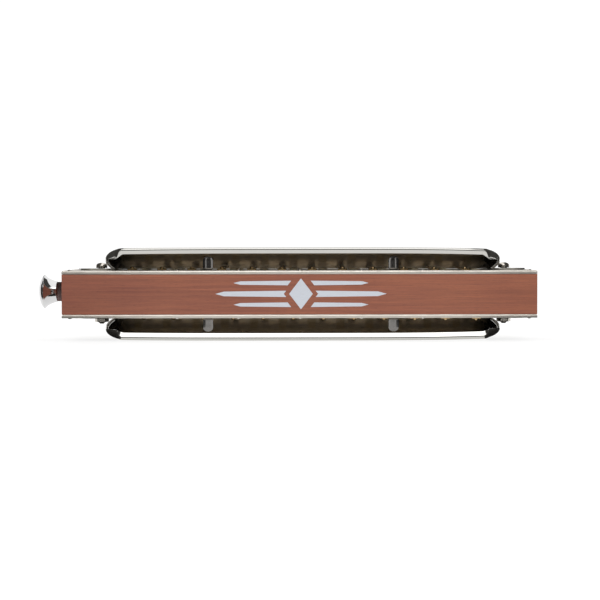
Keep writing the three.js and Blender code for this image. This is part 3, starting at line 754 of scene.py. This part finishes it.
def inward_normals(points):
    """Unit normals, pointing inside, of an open outline that runs from +X over the top to -X."""
    normals = []
    for i, here in enumerate(points):
        a, b = points[max(i - 1, 0)], points[min(i + 1, len(points) - 1)]
        along = Vector((b[0] - a[0], b[1] - a[1]))
        normals.append(Vector((-along.y, along.x)).normalized())
    return normals


def cover_mesh(rise, rear, front, crown_front, crown_lip):
    """The sheet's outer surface on height 0 = the reed plate, before it is given its thickness.

    Rows run from the front edge over the crown to the back edge, round the rim and down its lip.
    """
    outline = cover_outline(crown_lip)
    flat = [(x, share * (rise - crown_sag(x))) for x, share, *_ in outline]
    normals = inward_normals(flat)
    front_low = 0.7 * MM / rise
    bm = bmesh.new()
    rows = []

    def row(point):
        rows.append([bm.verts.new(point(i)) for i in range(len(outline))])

    def at_front(i, y, height_share, narrow):
        x, z = flat[i]
        keep = 1 - narrow / BULGE_HALF
        return (x * keep, y, z * height_share)

    fall = 14
    row(lambda i: at_front(i, front, 0.0, 2.4 * MM))
    for step in range(fall + 1):
        a = math.radians(90 * (1 - step / fall))
        y = crown_front + (front - crown_front) * math.sin(a)
        share = front_low + (1 - front_low) * math.cos(a)
        row(lambda i: at_front(i, y, share, 2.4 * MM * (1 - math.cos(a)) ** 2))
    run = 10
    for step in range(1, run + 1):
        def along(i):
            deep = outline[i][4]
            return (flat[i][0], crown_front + (rear + deep - crown_front) * step / run, flat[i][1])
        row(along)
    rim = 9
    for step in range(1, rim + 1):
        s = math.radians(90 * step / rim)
        def round_rim(i):
            *_, inset, deep = outline[i]
            moved = Vector(flat[i]) + normals[i] * inset * (1 - math.cos(s))
            return (moved.x, rear + deep * (1 - math.sin(s)), moved.y)
        row(round_rim)
    for share in (0.0, 0.15, 0.5, 1.0):
        def down_lip(i):
            _, _, lip, inset, _ = outline[i]
            slanted = max(lip - inset - LIP_UPRIGHT, 0.02 * MM) * share
            moved = Vector(flat[i]) + normals[i] * (inset + LIP_UPRIGHT + slanted)
            return (moved.x, rear + slanted * LIP_TUCK, moved.y)
        row(down_lip)
    for a, b in zip(rows, rows[1:]):
        for i in range(len(outline) - 1):
            bm.faces.new((a[i], a[i + 1], b[i + 1], b[i]))
    bmesh.ops.remove_doubles(bm, verts=bm.verts, dist=0.01 * MM)
    return bm


def thicken(bm, sheet):
    """Gives an open sheet its thickness, inwards. The inner skin gets the second material."""
    bm.normal_update()
    faces = list(bm.faces)
    borders = [e for e in bm.edges if e.is_boundary]
    inner = {}
    for v in list(bm.verts):
        inner[v] = bm.verts.new(v.co - v.normal * sheet * min(v.calc_shell_factor(), 1.3))
    for face in faces:
        bm.faces.new([inner[v] for v in reversed(face.verts)]).material_index = 1
    for edge in borders:
        loop = edge.link_loops[0]
        a, b = loop.vert, loop.link_loop_next.vert
        bm.faces.new((b, a, inner[a], inner[b]))
    return bm


def tab_outline(reach_out, reach_in, half_width, side):
    """A rounded rectangle about the bolt, whose upper and lower edges are slightly eased."""
    def edge(angle, height):
        c, s = math.cos(angle) * side, math.sin(angle)
        reach = reach_out if c > 0 else reach_in
        from_face = min(height, SHEET - height)
        eased = 0.1 * MM * (1 - min(from_face / (0.1 * MM), 1)) ** 2
        return (abs(c / reach) ** 4 + abs(s / half_width) ** 4) ** -0.25 - eased
    return edge


def make_cover(word):
    up = UP[word]
    low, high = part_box(f"{word}_cover")
    base = low.z if up > 0 else high.z
    rise = high.z - low.z - 0.02 * MM
    centre_x = (low.x + high.x) / 2
    crown_front = high.y - 6.1 * MM
    bm = thicken(cover_mesh(rise, low.y, high.y, crown_front, LIP[word]), SHEET)
    shell = mesh_object(f"{word}_cover_shell", bm, [CHROME, COVER_INSIDE])
    turn = Matrix.Diagonal((1, 1, up, 1))
    place(shell, at=(centre_x, 0, base), turn=turn)
    settle(shell, [f"{word}_cover"])
    for end, side in (("left", -1), ("right", 1)):
        bolt = middle(f"{end}_cover_bolt")
        reach_out = abs((high.x if side > 0 else low.x) - bolt.x)
        outline = tab_outline(reach_out, 5.4 * MM, 5.9 * MM, side)
        bm = ring_plate(outline, 1.25 * MM, [0, 0.06 * MM, SHEET - 0.1 * MM, SHEET - 0.03 * MM, SHEET])
        tab = mesh_object(f"{word}_cover_{end}_tab", bm, [CHROME])
        settle(place(tab, at=(bolt.x, bolt.y, base), turn=turn))


# ---------------------------------------------------------------- cover supports
def make_support(word, end):
    """An angle of sheet steel: a foot on the reed plate, a bend, and a round-topped post."""
    node = f"{word}_{end}_cover_support"
    up = UP[word]
    low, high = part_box(node)
    base = low.z if up > 0 else high.z
    width, depth, height = high - low
    sheet = 0.5 * MM
    half, narrow = width / 2, 1.1 * MM
    nick = 0.1 * MM
    sections = []

    def across(y, z, y2, z2, wide):
        """One section: the sheet's two faces at one place along it, with eased corners."""
        a, b = Vector((0, y, z)), Vector((0, y2, z2))
        in_a, in_b = a.lerp(b, nick / sheet), b.lerp(a, nick / sheet)
        ring = [(-wide, in_a), (-wide + nick, a), (wide - nick, a), (wide, in_a)]
        ring += [(wide, in_b), (wide - nick, b), (-wide + nick, b), (-wide, in_b)]
        sections.append([(x, p.y, p.z) for x, p in ring])

    across(depth, 0, depth, sheet, narrow - 0.15 * MM)
    across(depth - 0.15 * MM, 0, depth - 0.15 * MM, sheet, narrow)
    bend = 0.65 * MM
    for i in range(7):
        a = math.radians(90 * i / 6)
        outer = (bend - bend * math.sin(a), bend - bend * math.cos(a))
        inner_r = bend - sheet
        inner = (bend - inner_r * math.sin(a), bend - inner_r * math.cos(a))
        across(*outer, *inner, narrow + (half - narrow) * i / 6)
    round_top = 1.25 * MM
    for z in (bend + 0.05 * MM, height - round_top - 0.05 * MM):
        across(0, z, sheet, z, half)
    for i in range(9):
        a = math.radians(88 * i / 8)
        z = height - round_top + round_top * math.sin(a)
        across(0, z, sheet, z, half - round_top + round_top * math.cos(a))
    name = f"{word}_{end}_support_bracket"
    made = mesh_object(name, loft(bmesh.new(), sections), [SUPPORT_STEEL], 50)
    turn = Matrix.Diagonal((1, 1, up, 1))
    place(made, at=((low.x + high.x) / 2, low.y, base), turn=turn)
    settle(made, [node])


# ---------------------------------------------------------------- bolts, nuts, screws and bumpers
SLOT_HALF = 0.25 * MM  # half the width of a screwdriver's slot


def cut_slot(made, top, reach):
    """Cuts a screwdriver's slot: a box round the top of the head's dome, reaching this far each way."""
    low = [a - r for a, r in zip(top, reach)]
    high = [a + r for a, r in zip(top, reach)]
    subtract(made, [box_cutter(low, high)])


def screw_profile(shank_r, tip, under, head_r, rim, crown):
    """Half of a round-headed screw: a chamfered tip, threads, and a domed head."""
    pitch = 0.4 * MM
    root = shank_r - 0.16 * MM
    points = [(0, tip), (root * 0.7, tip), (root, tip + 0.25 * MM)]
    z = tip + 0.3 * MM
    while z + pitch < under - 0.5 * MM:
        points += [(shank_r, z + pitch * 0.4), (shank_r, z + pitch * 0.55), (root, z + pitch)]
        z += pitch
    points += [(shank_r, under - 0.3 * MM), (shank_r, under), (head_r - 0.06 * MM, under)]
    points += [(head_r, under + 0.06 * MM), (head_r, rim)]
    for i in range(1, 8):
        a = math.radians(90 * i / 7)
        points.append((head_r * math.cos(a), rim + (crown - rim) * math.sin(a)))
    points[-1] = (0, crown)
    return points


def make_cover_fastener(end):
    low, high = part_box(f"{end}_cover_bolt")
    nut_low, nut_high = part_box(f"{end}_cover_nut")
    x = (low.x + high.x) / 2
    head_r = (high.x - low.x) / 2
    under = high.z - 1.65 * MM
    profile = screw_profile(1.08 * MM, low.z, under, head_r, under + 0.6 * MM, high.z)
    bolt = mesh_object(f"{end}_bolt", turned(profile, 40), [NICKEL])
    place(bolt, at=(x, 0, 0))
    cut_slot(bolt, (x, 0, high.z), (3 * MM, SLOT_HALF, 0.7 * MM))
    settle(bolt, [f"{end}_cover_bolt"])

    flat = (nut_high.y - nut_low.y) / 2
    thick = nut_high.z - nut_low.z

    def hexagon(angle, height):
        corner = flat / math.cos(angle % (math.pi / 3) - math.pi / 6)
        chamfer = flat + 0.02 * MM + 1.5 * min(height, thick - height)
        return min(corner, chamfer)

    heights = [0, 0.08 * MM, 0.16 * MM, thick - 0.16 * MM, thick - 0.08 * MM, thick]
    nut = mesh_object(f"{end}_nut", ring_plate(hexagon, 1.09 * MM, heights, 72), [NICKEL], 22)
    settle(place(nut, at=(x, 0, nut_low.z)), [f"{end}_cover_nut"])


def make_mouthpiece_screw(end):
    low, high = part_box(f"{end}_mouthpiece_screw")
    x = (low.x + high.x) / 2
    head_r = (high.x - low.x) / 2
    under = high.y - 1.5 * MM
    profile = screw_profile(0.88 * MM, low.y, under, head_r, under + 0.75 * MM, high.y)
    screw = mesh_object(f"{end}_screw", turned(profile, 40), [NICKEL])
    place(screw, at=(x, 0, MIDDLE_Z), turn=Matrix.Rotation(-math.pi / 2, 4, "X"))
    cut_slot(screw, (x, high.y, MIDDLE_Z), (3 * MM, 0.6 * MM, SLOT_HALF))
    settle(screw, [f"{end}_mouthpiece_screw"])


def make_bumper(end):
    low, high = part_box(f"{end}_slide_bumper")
    x = (low.x + high.x) / 2
    radius = (high.x - low.x) / 2
    thick = high.y - low.y

    def outline(angle, height):
        return radius - 0.1 * MM * (abs(height / thick - 0.5) * 2) ** 4

    bm = ring_plate(outline, 0.92 * MM, [thick * i / 8 for i in range(9)], 32)
    made = mesh_object(f"{end}_bumper", bm, [BUMPER_RUBBER])
    place(made, at=(x, high.y, MIDDLE_Z), turn=Matrix.Rotation(math.pi / 2, 4, "X"))
    settle(made, [f"{end}_slide_bumper"])


# ---------------------------------------------------------------- slide housing and slide
slide_low, slide_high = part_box("slide")
knob_low, knob_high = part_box("knob")
back_low, back_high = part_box("slide_back_plate")
channel_low, channel_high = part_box("slide_front_plate")
TRAVEL = frame["joints"][0]["range_m"][1]
WINDOW_HALF = 2.15 * MM
WINDOW_LOW = 0.75 * MM
WINDOW_HIGH = 4.6 * MM
TAB_HALF = 3.1 * MM  # half the height of the slide's tongue, which carries the knob
HOUSING_EDGE = 0.07 * MM
SLIDE_MIDDLE_Y = (slide_low.y + slide_high.y) / 2
SCREW_PLACES = [middle(f"{end}_mouthpiece_screw").x for end in ("left", "right")]
SPRING_TIP_X = spring_low.x + 0.25 * MM


def inside(x, z, openings):
    return any(a < x < b and c < z < d for a, b, c, d in openings)


def pierced_sheet(name, material, xs, ys, zs, openings, metal, rounding):
    """A sheet in the XZ plane with openings, each (left, right, low, high) with heights from the middle."""
    xs = [*xs, *(edge for opening in openings for edge in opening[:2])]
    zs = [*zs, *(MIDDLE_Z + edge for opening in openings for edge in opening[2:])]
    return bevel(mesh_object(name, lattice(xs, ys, zs, metal), [material]), rounding, 2)


def screw_openings(radius):
    return [(x - radius, x + radius, -radius, radius) for x in SCREW_PLACES]


def make_housing():
    back = screw_openings(1.0 * MM)
    for h in HOLES:
        for low, high in ((WEB_HALF, WINDOW_HIGH + 0.5 * MM), (-WINDOW_HIGH - 0.5 * MM, -WEB_HALF)):
            back.append((hole_x(h) - 2.5 * MM, hole_x(h) + 2.5 * MM, low, high))
    back.append((SPRING_TIP_X - 0.6 * MM, SPRING_TIP_X + TRAVEL + 0.6 * MM, -0.6 * MM, 0.6 * MM))

    def back_metal(x, y, z):
        return not inside(x, z - MIDDLE_Z, back)

    xs, ys, zs = zip(back_low, back_high)
    made = pierced_sheet("back_plate", HOUSING_METAL, xs, ys, zs, back, back_metal, HOUSING_EDGE)
    settle(made, ["slide_back_plate"])

    front = screw_openings(1.0 * MM)
    for h in HOLES:
        front.append((hole_x(h) - 2.7 * MM, hole_x(h) + 2.7 * MM, -WINDOW_HIGH, WINDOW_HIGH))
    rail = (slide_high.z - slide_low.z) / 2 + 0.1 * MM
    plate_back = channel_high.y - 0.8 * MM

    def front_metal(x, y, z):
        if y < plate_back:
            return abs(z - MIDDLE_Z) > rail
        return not inside(x, z - MIDDLE_Z, front)

    xs, ys, zs = zip(channel_low, channel_high)
    ys, zs = (*ys, plate_back), (*zs, MIDDLE_Z - rail, MIDDLE_Z + rail)
    made = pierced_sheet("front_channel", HOUSING_METAL, xs, ys, zs, front, front_metal, HOUSING_EDGE)
    settle(made, ["slide_front_plate"])


def make_slide():
    """A strip with one row of windows open at rest and the other open when it is pressed."""
    openings = []
    for h in HOLES:
        x = hole_x(h)
        openings.append((x - WINDOW_HALF, x + WINDOW_HALF, WINDOW_LOW, WINDOW_HIGH))
        pressed = x - TRAVEL
        openings.append((pressed - WINDOW_HALF, pressed + WINDOW_HALF, -WINDOW_HIGH, -WINDOW_LOW))
    stop = 1.4 * MM
    openings.append((SCREW_PLACES[0] - TRAVEL - stop, SCREW_PLACES[0] + stop, -stop, stop))
    openings.append((SCREW_PLACES[1] - TRAVEL - stop, slide_high.x, -stop, stop))
    wire = 0.47 * MM
    openings.append((SPRING_TIP_X - wire, SPRING_TIP_X + wire, -wire, wire))
    shoulder = knob_high.x + 7.4 * MM

    def metal(x, y, z):
        if x < shoulder and abs(z - MIDDLE_Z) > TAB_HALF:
            return False
        return not inside(x, z - MIDDLE_Z, openings)

    xs, ys, zs = zip(slide_low, slide_high)
    xs, zs = (*xs, shoulder), (*zs, MIDDLE_Z - TAB_HALF, MIDDLE_Z + TAB_HALF)
    made = pierced_sheet("slide_strip", SLIDE_METAL, xs, ys, zs, openings, metal, 0.06 * MM)
    settle(made, ["slide"], "slider")


def make_knob():
    """The knob is turned: a domed face, a thin rim, and a concave flank that falls to a narrow neck."""
    radius = (knob_high.z - knob_low.z) / 2
    length = knob_high.x - knob_low.x
    face = [(0, 0), (0.8, 0.02), (1.6, 0.09), (2.4, 0.22)]
    face += [(3.1, 0.4), (3.8, 0.64), (4.4, 0.94), (4.85, 1.24)]
    rim = [(5.15, 1.52), (5.36, 1.7), (5.47, 1.84), (5.5, 1.95), (5.47, 2.06), (5.38, 2.15)]
    a, b, c, d = (5.38, 2.15), (4.5, 2.75), (3.85, 4.0), (3.42, 5.85)
    flank = []
    for i in range(1, 13):
        t = i / 12
        weights = ((1 - t) ** 3, 3 * t * (1 - t) ** 2, 3 * t * t * (1 - t), t**3)
        flank.append(tuple(sum(w * p[k] for w, p in zip(weights, (a, b, c, d))) for k in (0, 1)))
    neck = [(3.4, 6.05), (3.34, 6.14), (3.2, 6.2), (0, 6.2)]
    profile = [(r / 5.5 * radius, h / 6.2 * length) for r, h in face + rim + flank + neck]
    knob = mesh_object("push_knob", turned(profile, 96), [KNOB_CHROME])
    turn = Matrix.Rotation(math.pi / 2, 4, "Y")
    place(knob, at=(knob_low.x, SLIDE_MIDDLE_Y, MIDDLE_Z), turn=turn)
    gap = 0.05 * MM
    pin = middle("knob_pin")
    slot_low = (knob_high.x - 2.6 * MM, slide_low.y - gap, MIDDLE_Z - TAB_HALF - gap)
    slot_high = (knob_high.x + 1 * MM, slide_high.y + gap, MIDDLE_Z + TAB_HALF + gap)
    slot = box_cutter(slot_low, slot_high)
    bore_r = 0.63 * MM
    bore = turned([(0, -6 * MM), (bore_r, -6 * MM), (bore_r, 6 * MM), (0, 6 * MM)], 24)
    bore = place(mesh_object("cutter", bore, []), at=pin, turn=Matrix.Rotation(math.pi / 2, 4, "X"))
    settle(subtract(knob, [slot, bore], 40), ["knob"], "slider")

    low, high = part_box("knob_pin")
    half, r = (high.y - low.y) / 2, (high.x - low.x) / 2
    ends = [(0, 0), (0.5 * r, 0.01 * MM), (0.85 * r, 0.05 * MM), (r, 0.14 * MM)]
    profile = [(x, y - half) for x, y in ends] + [(x, half - y) for x, y in reversed(ends)]
    made = mesh_object("pin", turned(profile, 24), [KNOB_CHROME])
    place(made, at=pin, turn=Matrix.Rotation(math.pi / 2, 4, "X"))
    settle(made, ["knob_pin"], "slider")


# ---------------------------------------------------------------- return spring
def smooth_path(points, steps):
    """A centripetal Catmull-Rom path through the points."""
    line = [points[0] * 2 - points[1], *points, points[-1] * 2 - points[-2]]
    path = []
    for a, b, c, d in zip(line, line[1:], line[2:], line[3:]):
        t1 = (b - a).length ** 0.5
        t2 = t1 + (c - b).length ** 0.5
        t3 = t2 + (d - c).length ** 0.5
        for i in range(steps):
            t = t1 + (t2 - t1) * i / steps
            ab = a.lerp(b, t / t1)
            bc = b.lerp(c, (t - t1) / (t2 - t1))
            cd = c.lerp(d, (t - t2) / (t3 - t2))
            abc = ab.lerp(bc, t / t2)
            bcd = bc.lerp(cd, (t - t1) / (t3 - t1))
            path.append(abc.lerp(bcd, (t - t1) / (t2 - t1)))
    return [*path, points[-1]]


def wire_mesh(path, radius, segments=16):
    """A round wire along a path, with rounded ends."""
    across = (path[1] - path[0]).orthogonal().normalized()
    sections = []
    for i, point in enumerate(path):
        along = (path[min(i + 1, len(path) - 1)] - path[max(i - 1, 0)]).normalized()
        across = (across - along * across.dot(along)).normalized()
        other = along.cross(across)
        wide = radius * (0.75 if i in (0, len(path) - 1) else 1.0)
        spokes = ((wide * math.cos(a), wide * math.sin(a)) for a in round_angles(segments))
        sections.append([point + across * u + other * v for u, v in spokes])
    return loft(bmesh.new(), sections)


def make_spring():
    coil_r = 1.5 * MM
    rise = 0.35 * MM
    coil = Vector((SPRING_TIP_X + 2.7 * MM, spring_low.y + 0.25 * MM + 1.7 * MM, MIDDLE_Z))
    points = [
        Vector((spring_high.x - 0.05 * MM, coil.y - coil_r - 0.15 * MM, MIDDLE_Z - rise)),
        Vector((coil.x + 1.4 * MM, coil.y - coil_r, MIDDLE_Z - rise)),
    ]
    steps = 20
    for i in range(steps + 1):
        angle = -math.pi * (0.5 + 2.5 * i / steps)
        lift = -rise + 2 * rise * i / steps
        points.append(coil + Vector((coil_r * math.cos(angle), coil_r * math.sin(angle), lift)))
    points.append(Vector((SPRING_TIP_X, FRONT_Y - 1.6 * MM, MIDDLE_Z + rise * 0.4)))
    points.append(Vector((SPRING_TIP_X, FRONT_Y, MIDDLE_Z)))
    points.append(Vector((SPRING_TIP_X, slide_high.y - 0.1 * MM, MIDDLE_Z)))
    made = mesh_object("spring", wire_mesh(smooth_path(points, 4), 0.25 * MM), [SPRING_STEEL], 60)
    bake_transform(made)
    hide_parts("return_spring")


# ---------------------------------------------------------------- mouthpiece
bar_low, bar_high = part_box("mouthpiece")
BAR_HALF_X = (bar_high.x - bar_low.x) / 2
BAR_HALF_Z = (bar_high.z - bar_low.z) / 2
BAR_FALL = 4.6 * MM
BAR_CORNER = 3.2 * MM
BAR_WALL = 0.6 * MM
BAR_BACK = channel_high.y + 0.05 * MM
BAR_FULLNESS = 2.6
MOUTH_RADIUS = 2.9 * MM


def bar_face(x, z):
    """How far front the mouthpiece's bowed face is over a point of its flat outline."""
    up = min(abs(z) / BAR_HALF_Z, 1)
    fall = BAR_FALL * (1 - (1 - up**BAR_FULLNESS) ** (1 / BAR_FULLNESS))
    over = min(max(abs(x) - (BAR_HALF_X - BAR_CORNER), 0) / BAR_CORNER, 1)
    return bar_high.y - fall - BAR_CORNER * (1 - math.sqrt(1 - over * over))


def spaced(start, end, steps, ease=False):
    """Evenly spaced values, or ones that crowd towards the end."""
    values = []
    for i in range(steps + 1):
        t = i / steps
        values.append(start + (end - start) * (math.sin(t * math.pi / 2) if ease else t))
    return values


def mouthpiece_mesh():
    """A block whose front is a grid of tiles: a tile holds a hole or a screw's seat in rings."""
    side = 12
    tile_z = PITCH / 2
    bm = bmesh.new()
    known = {}

    def vertex(x, y, z):
        key = (round(x, 7), round(y, 7), round(z, 7))
        if key not in known:
            known[key] = bm.verts.new((x, y, MIDDLE_Z + z))
        return known[key]

    def front(x, z):
        return vertex(x, bar_face(x, z), z)

    def face(corners):
        if len(set(corners)) > 2:
            bm.faces.new(list(dict.fromkeys(corners)))

    floor_y = BAR_BACK - 0.6 * MM
    fillet = 0.45 * MM
    hole = [(MOUTH_RADIUS + 1.15 * MM, 0), (MOUTH_RADIUS + 0.7 * MM, 0)]
    for i in range(7):
        a = math.radians(90 * i / 6)
        hole.append((MOUTH_RADIUS + fillet * (1 - math.sin(a)), fillet * (1 - math.cos(a))))
    seat_r, seat_deep = 2.02 * MM, bar_high.y - 0.9 * MM
    seat = [(seat_r + 0.9 * MM, 0), (seat_r + 0.35 * MM, 0)]
    for i in range(5):
        a = math.radians(90 * i / 4)
        seat.append((seat_r + 0.2 * MM * (1 - math.sin(a)), 0.2 * MM * (1 - math.cos(a))))

    def tile(cx, half_x, rings, shelf):
        """rings are (radius, depth under the face); shelf is the depth and bore of a screw's seat."""
        xs, zs = spaced(-half_x, half_x, side), spaced(-tile_z, tile_z, side)
        edge = [(x, -tile_z) for x in xs[:-1]] + [(half_x, z) for z in zs[:-1]]
        edge += [(x, tile_z) for x in xs[:0:-1]] + [(-half_x, z) for z in zs[:0:-1]]
        angles = [math.atan2(z, x) for x, z in edge]
        loops = [[front(cx + x, z) for x, z in edge]]
        for radius, deep in rings:
            points = [(cx + radius * math.cos(a), radius * math.sin(a)) for a in angles]
            loops.append([vertex(x, bar_face(x, z) - deep, z) for x, z in points])
        below = [(rings[-1][0], floor_y)]
        if shelf:
            below = [(rings[-1][0], shelf[0]), (shelf[1], shelf[0]), (shelf[1], floor_y)]
        for radius, y in below:
            loops.append([vertex(cx + radius * math.cos(a), y, radius * math.sin(a)) for a in angles])
        for a, b in zip(loops, loops[1:]):
            for i in range(len(edge)):
                j = (i + 1) % len(edge)
                face((a[i], a[j], b[j], b[i]))
        face(loops[-1])

    def grid(xs, zs):
        for x0, x1 in zip(xs, xs[1:]):
            for z0, z1 in zip(zs, zs[1:]):
                face((front(x0, z0), front(x1, z0), front(x1, z1), front(x0, z1)))

    seat_half = 4 * MM
    tiles = [(hole_x(h), PITCH / 2, hole, None) for h in reversed(HOLES)]
    tiles.insert(0, (SCREW_PLACES[0], seat_half, seat, (seat_deep, 1.0 * MM)))
    tiles.append((SCREW_PLACES[1], seat_half, seat, (seat_deep, 1.0 * MM)))
    lower = [-z for z in reversed(spaced(tile_z, BAR_HALF_Z, 12, True))]
    upper = spaced(tile_z, BAR_HALF_Z, 12, True)
    level = spaced(-tile_z, tile_z, side)
    all_x = []
    done = -BAR_HALF_X
    for cx, half_x, rings, shelf in tiles:
        gap = cx - half_x - done
        if gap > 1e-6:
            xs = spaced(done, cx - half_x, 8)
            if done == -BAR_HALF_X:
                xs = [-x for x in reversed(spaced(-(cx - half_x), BAR_HALF_X, 10, True))]
            grid(xs, level)
            all_x += xs
        tile(cx, half_x, rings, shelf)
        all_x += spaced(cx - half_x, cx + half_x, side)
        done = cx + half_x
    xs = spaced(done, BAR_HALF_X, 10, True)
    grid(xs, level)
    all_x = sorted(set(round(x, 7) for x in all_x + xs))
    grid(all_x, lower)
    grid(all_x, upper)

    back = bar_low.y
    all_z = sorted(set(round(z, 7) for z in lower + level + upper))
    outline = [(x, -BAR_HALF_Z) for x in all_x[:-1]] + [(all_x[-1], z) for z in all_z[:-1]]
    outline += [(x, BAR_HALF_Z) for x in all_x[:0:-1]] + [(all_x[0], z) for z in all_z[:0:-1]]
    for (x0, z0), (x1, z1) in zip(outline, outline[1:] + outline[:1]):
        face((front(x0, z0), front(x1, z1), vertex(x1, back, z1), vertex(x0, back, z0)))
    face([vertex(x, back, z) for x, z in outline])
    return bm


def make_mouthpiece():
    made = mesh_object("mouthpiece_bar", mouthpiece_mesh(), [MOUTHPIECE_CHROME], 40)
    inner = BAR_HALF_Z - BAR_WALL
    low = (bar_low.x - 1 * MM, bar_low.y - 1 * MM, MIDDLE_Z - inner)
    high = (channel_high.x + 0.1 * MM, BAR_BACK, MIDDLE_Z + inner)
    subtract(made, [box_cutter(low, high)], 40)
    settle(made, ["mouthpiece"])


# ---------------------------------------------------------------- ornament on the comb's back
INK = 0.02 * MM


def ink_shape(bm, outline):
    """A flat printed shape on the comb's back, from (x, height) points in millimetres."""
    back = REAR_Y + COMB_INSET
    loft(bm, [[(x * MM, y, MIDDLE_Z + z * MM) for x, z in outline] for y in (back - INK, back)])


def make_ornament():
    """A lozenge between tapering bars, printed in silver."""
    bm = bmesh.new()
    cx, cz = 0.45, 0.15
    wide, tall = 3.6, 4.7
    lean = 0.766  # the bars' inner ends lean as the lozenge's sides do
    ink_shape(bm, [(cx + wide, cz), (cx, cz + tall), (cx - wide, cz), (cx, cz - tall)])
    bars = ((0.0, 26.0, 0.95), (3.3, 20.5, 0.7), (-3.3, 20.5, 0.7))
    for side in (-1, 1):
        for z, end, half in bars:
            start = 5.2 + (0.25 - lean) * abs(z)
            slant = math.copysign(lean * half, z)
            points = [
                (start - slant, z + half), (end * 0.9, z + half * 0.75), (end, z),
                (end * 0.9, z - half * 0.75), (start + slant, z - half),
            ]
            if z == 0:
                points[-1] = (start - slant, -half)
                points.append((start, 0))
            ink_shape(bm, [(cx + side * x, cz + y) for x, y in points])
    settle(mesh_object("ornament", bm, [SILVER_INK]))


# ---------------------------------------------------------------- assembly
make_comb()
for word in ("top", "bottom"):
    make_reed_plate(word)
    make_reeds(word)
    make_cover(word)
    for end in ("left", "right"):
        make_support(word, end)
for end in ("left", "right"):
    make_cover_fastener(end)
    make_mouthpiece_screw(end)
    make_bumper(end)
make_housing()
make_slide()
make_knob()
make_spring()
make_mouthpiece()
make_ornament()


# ---------------------------------------------------------------- studio
def card(name, corners, material):
    """A flat staged sheet from its corners."""
    bm = bmesh.new()
    bm.faces.new([bm.verts.new(corner) for corner in corners])
    made = new_object(name, bm, [material])
    return made


def only_in_reflections(made):
    """What a photographer's flag does: polished metal shows it, and nothing else is changed by it."""
    made.visible_camera = False
    made.visible_diffuse = False
    made.visible_shadow = False


def make_studio():
    """A pale floor, and black flags that the polished sheet metal reflects: low in front, and at the
    covers' two ends a wall, a roof over it and a patch of dark floor."""
    reach = 6.0
    floor = [(-reach, -reach, 0), (reach, -reach, 0), (reach, reach, 0), (-reach, reach, 0)]
    card("floor", floor, pale_floor("floor"))
    black = Shader("flag_black", Base_Color=(0.036, 0.034, 0.031, 1), Roughness=0.9).material
    front, half, high = -0.30, 0.125, 0.21
    low = [(-half, front, 0.001), (half, front, 0.001), (half, front, high), (-half, front, high)]
    flags = [card("low_flag", low, black)]
    x, front, back, high, inner = 0.105, -0.16, 0.25, 0.26, 0.082
    wall = [(x, front, 0.001), (x, 0.022, 0.001), (x, 0.03, 0.035), (x, back, 0.08), (x, back, high)]
    wall.append((x, front, high))
    roof = [(inner, front, high), (x, front, high), (x, back, high), (inner, back, high)]
    ground = [(0.0665, -0.12, 0.0006), (x, -0.12, 0.0006), (x, 0.004, 0.0006), (0.054, 0.004, 0.0006)]
    for name, side in (("left", -1), ("right", 1)):
        for kind, corners in (("wall", wall), ("roof", roof), ("ground", ground)):
            mirrored = [(side * a + 0.001, b, c) for a, b, c in corners]
            flags.append(card(f"{name}_{kind}_flag", mirrored, black))
    for flag in flags:
        only_in_reflections(flag)


SOFT_BOX_BRIGHTNESS = 1.75


def make_light():
    """An even white room, brighter overhead, and a soft box above and behind the camera."""
    world = bpy.data.worlds.new("studio")
    bpy.context.scene.world = world
    world.use_nodes = True
    tree = world.node_tree
    sky = tree.nodes["Background"]
    sky.inputs["Color"].default_value = (1, 1, 1, 1)
    split = tree.nodes.new("ShaderNodeSeparateXYZ")
    grade = tree.nodes.new("ShaderNodeMapRange")
    direction = tree.nodes.new("ShaderNodeTexCoord").outputs["Generated"]
    tree.links.new(direction, split.inputs[0])
    tree.links.new(split.outputs["Z"], grade.inputs["Value"])
    for name, value in (("From Min", 0.2), ("From Max", 1.0), ("To Min", 1.06), ("To Max", 1.25)):
        grade.inputs[name].default_value = value
    tree.links.new(grade.outputs["Result"], sky.inputs["Strength"])

    light = bpy.data.lights.new("soft_box", "AREA")
    light.shape = "RECTANGLE"
    light.size, light.size_y = 1.1, 0.3
    light.energy = SOFT_BOX_BRIGHTNESS * math.pi * light.size * light.size_y
    box = link_object("soft_box", light)
    box.location = (0, -0.85, 0.82)
    box.rotation_euler = (-box.location).to_track_quat("-Z", "Y").to_euler()


CAMERA_DISTANCE = 0.55
CAMERA_ELEVATION = math.radians(1.7)
CAMERA_ROLL = math.radians(-0.08)
AIM_SHIFT = (0.00015, 0, -0.00172)  # from the middle of the back face to where the camera points


def make_camera():
    """The photo's view: from behind, a little above, and almost level."""
    data = bpy.data.cameras.new("camera")
    data.lens = 108.7
    data.sensor_width = 36
    camera = link_object("camera", data)
    bpy.context.scene.camera = camera
    target = Vector((0, REAR_Y, MIDDLE_Z))
    away = Vector((0, -math.cos(CAMERA_ELEVATION), math.sin(CAMERA_ELEVATION)))
    camera.location = target + CAMERA_DISTANCE * away
    aim = target + Vector(AIM_SHIFT)
    look = (aim - camera.location).to_track_quat("-Z", "Y").to_matrix()
    camera.rotation_euler = (look @ Matrix.Rotation(CAMERA_ROLL, 3, "Z")).to_euler()


make_studio()
make_light()
make_camera()
bpy.context.scene.view_settings.view_transform = "Standard"
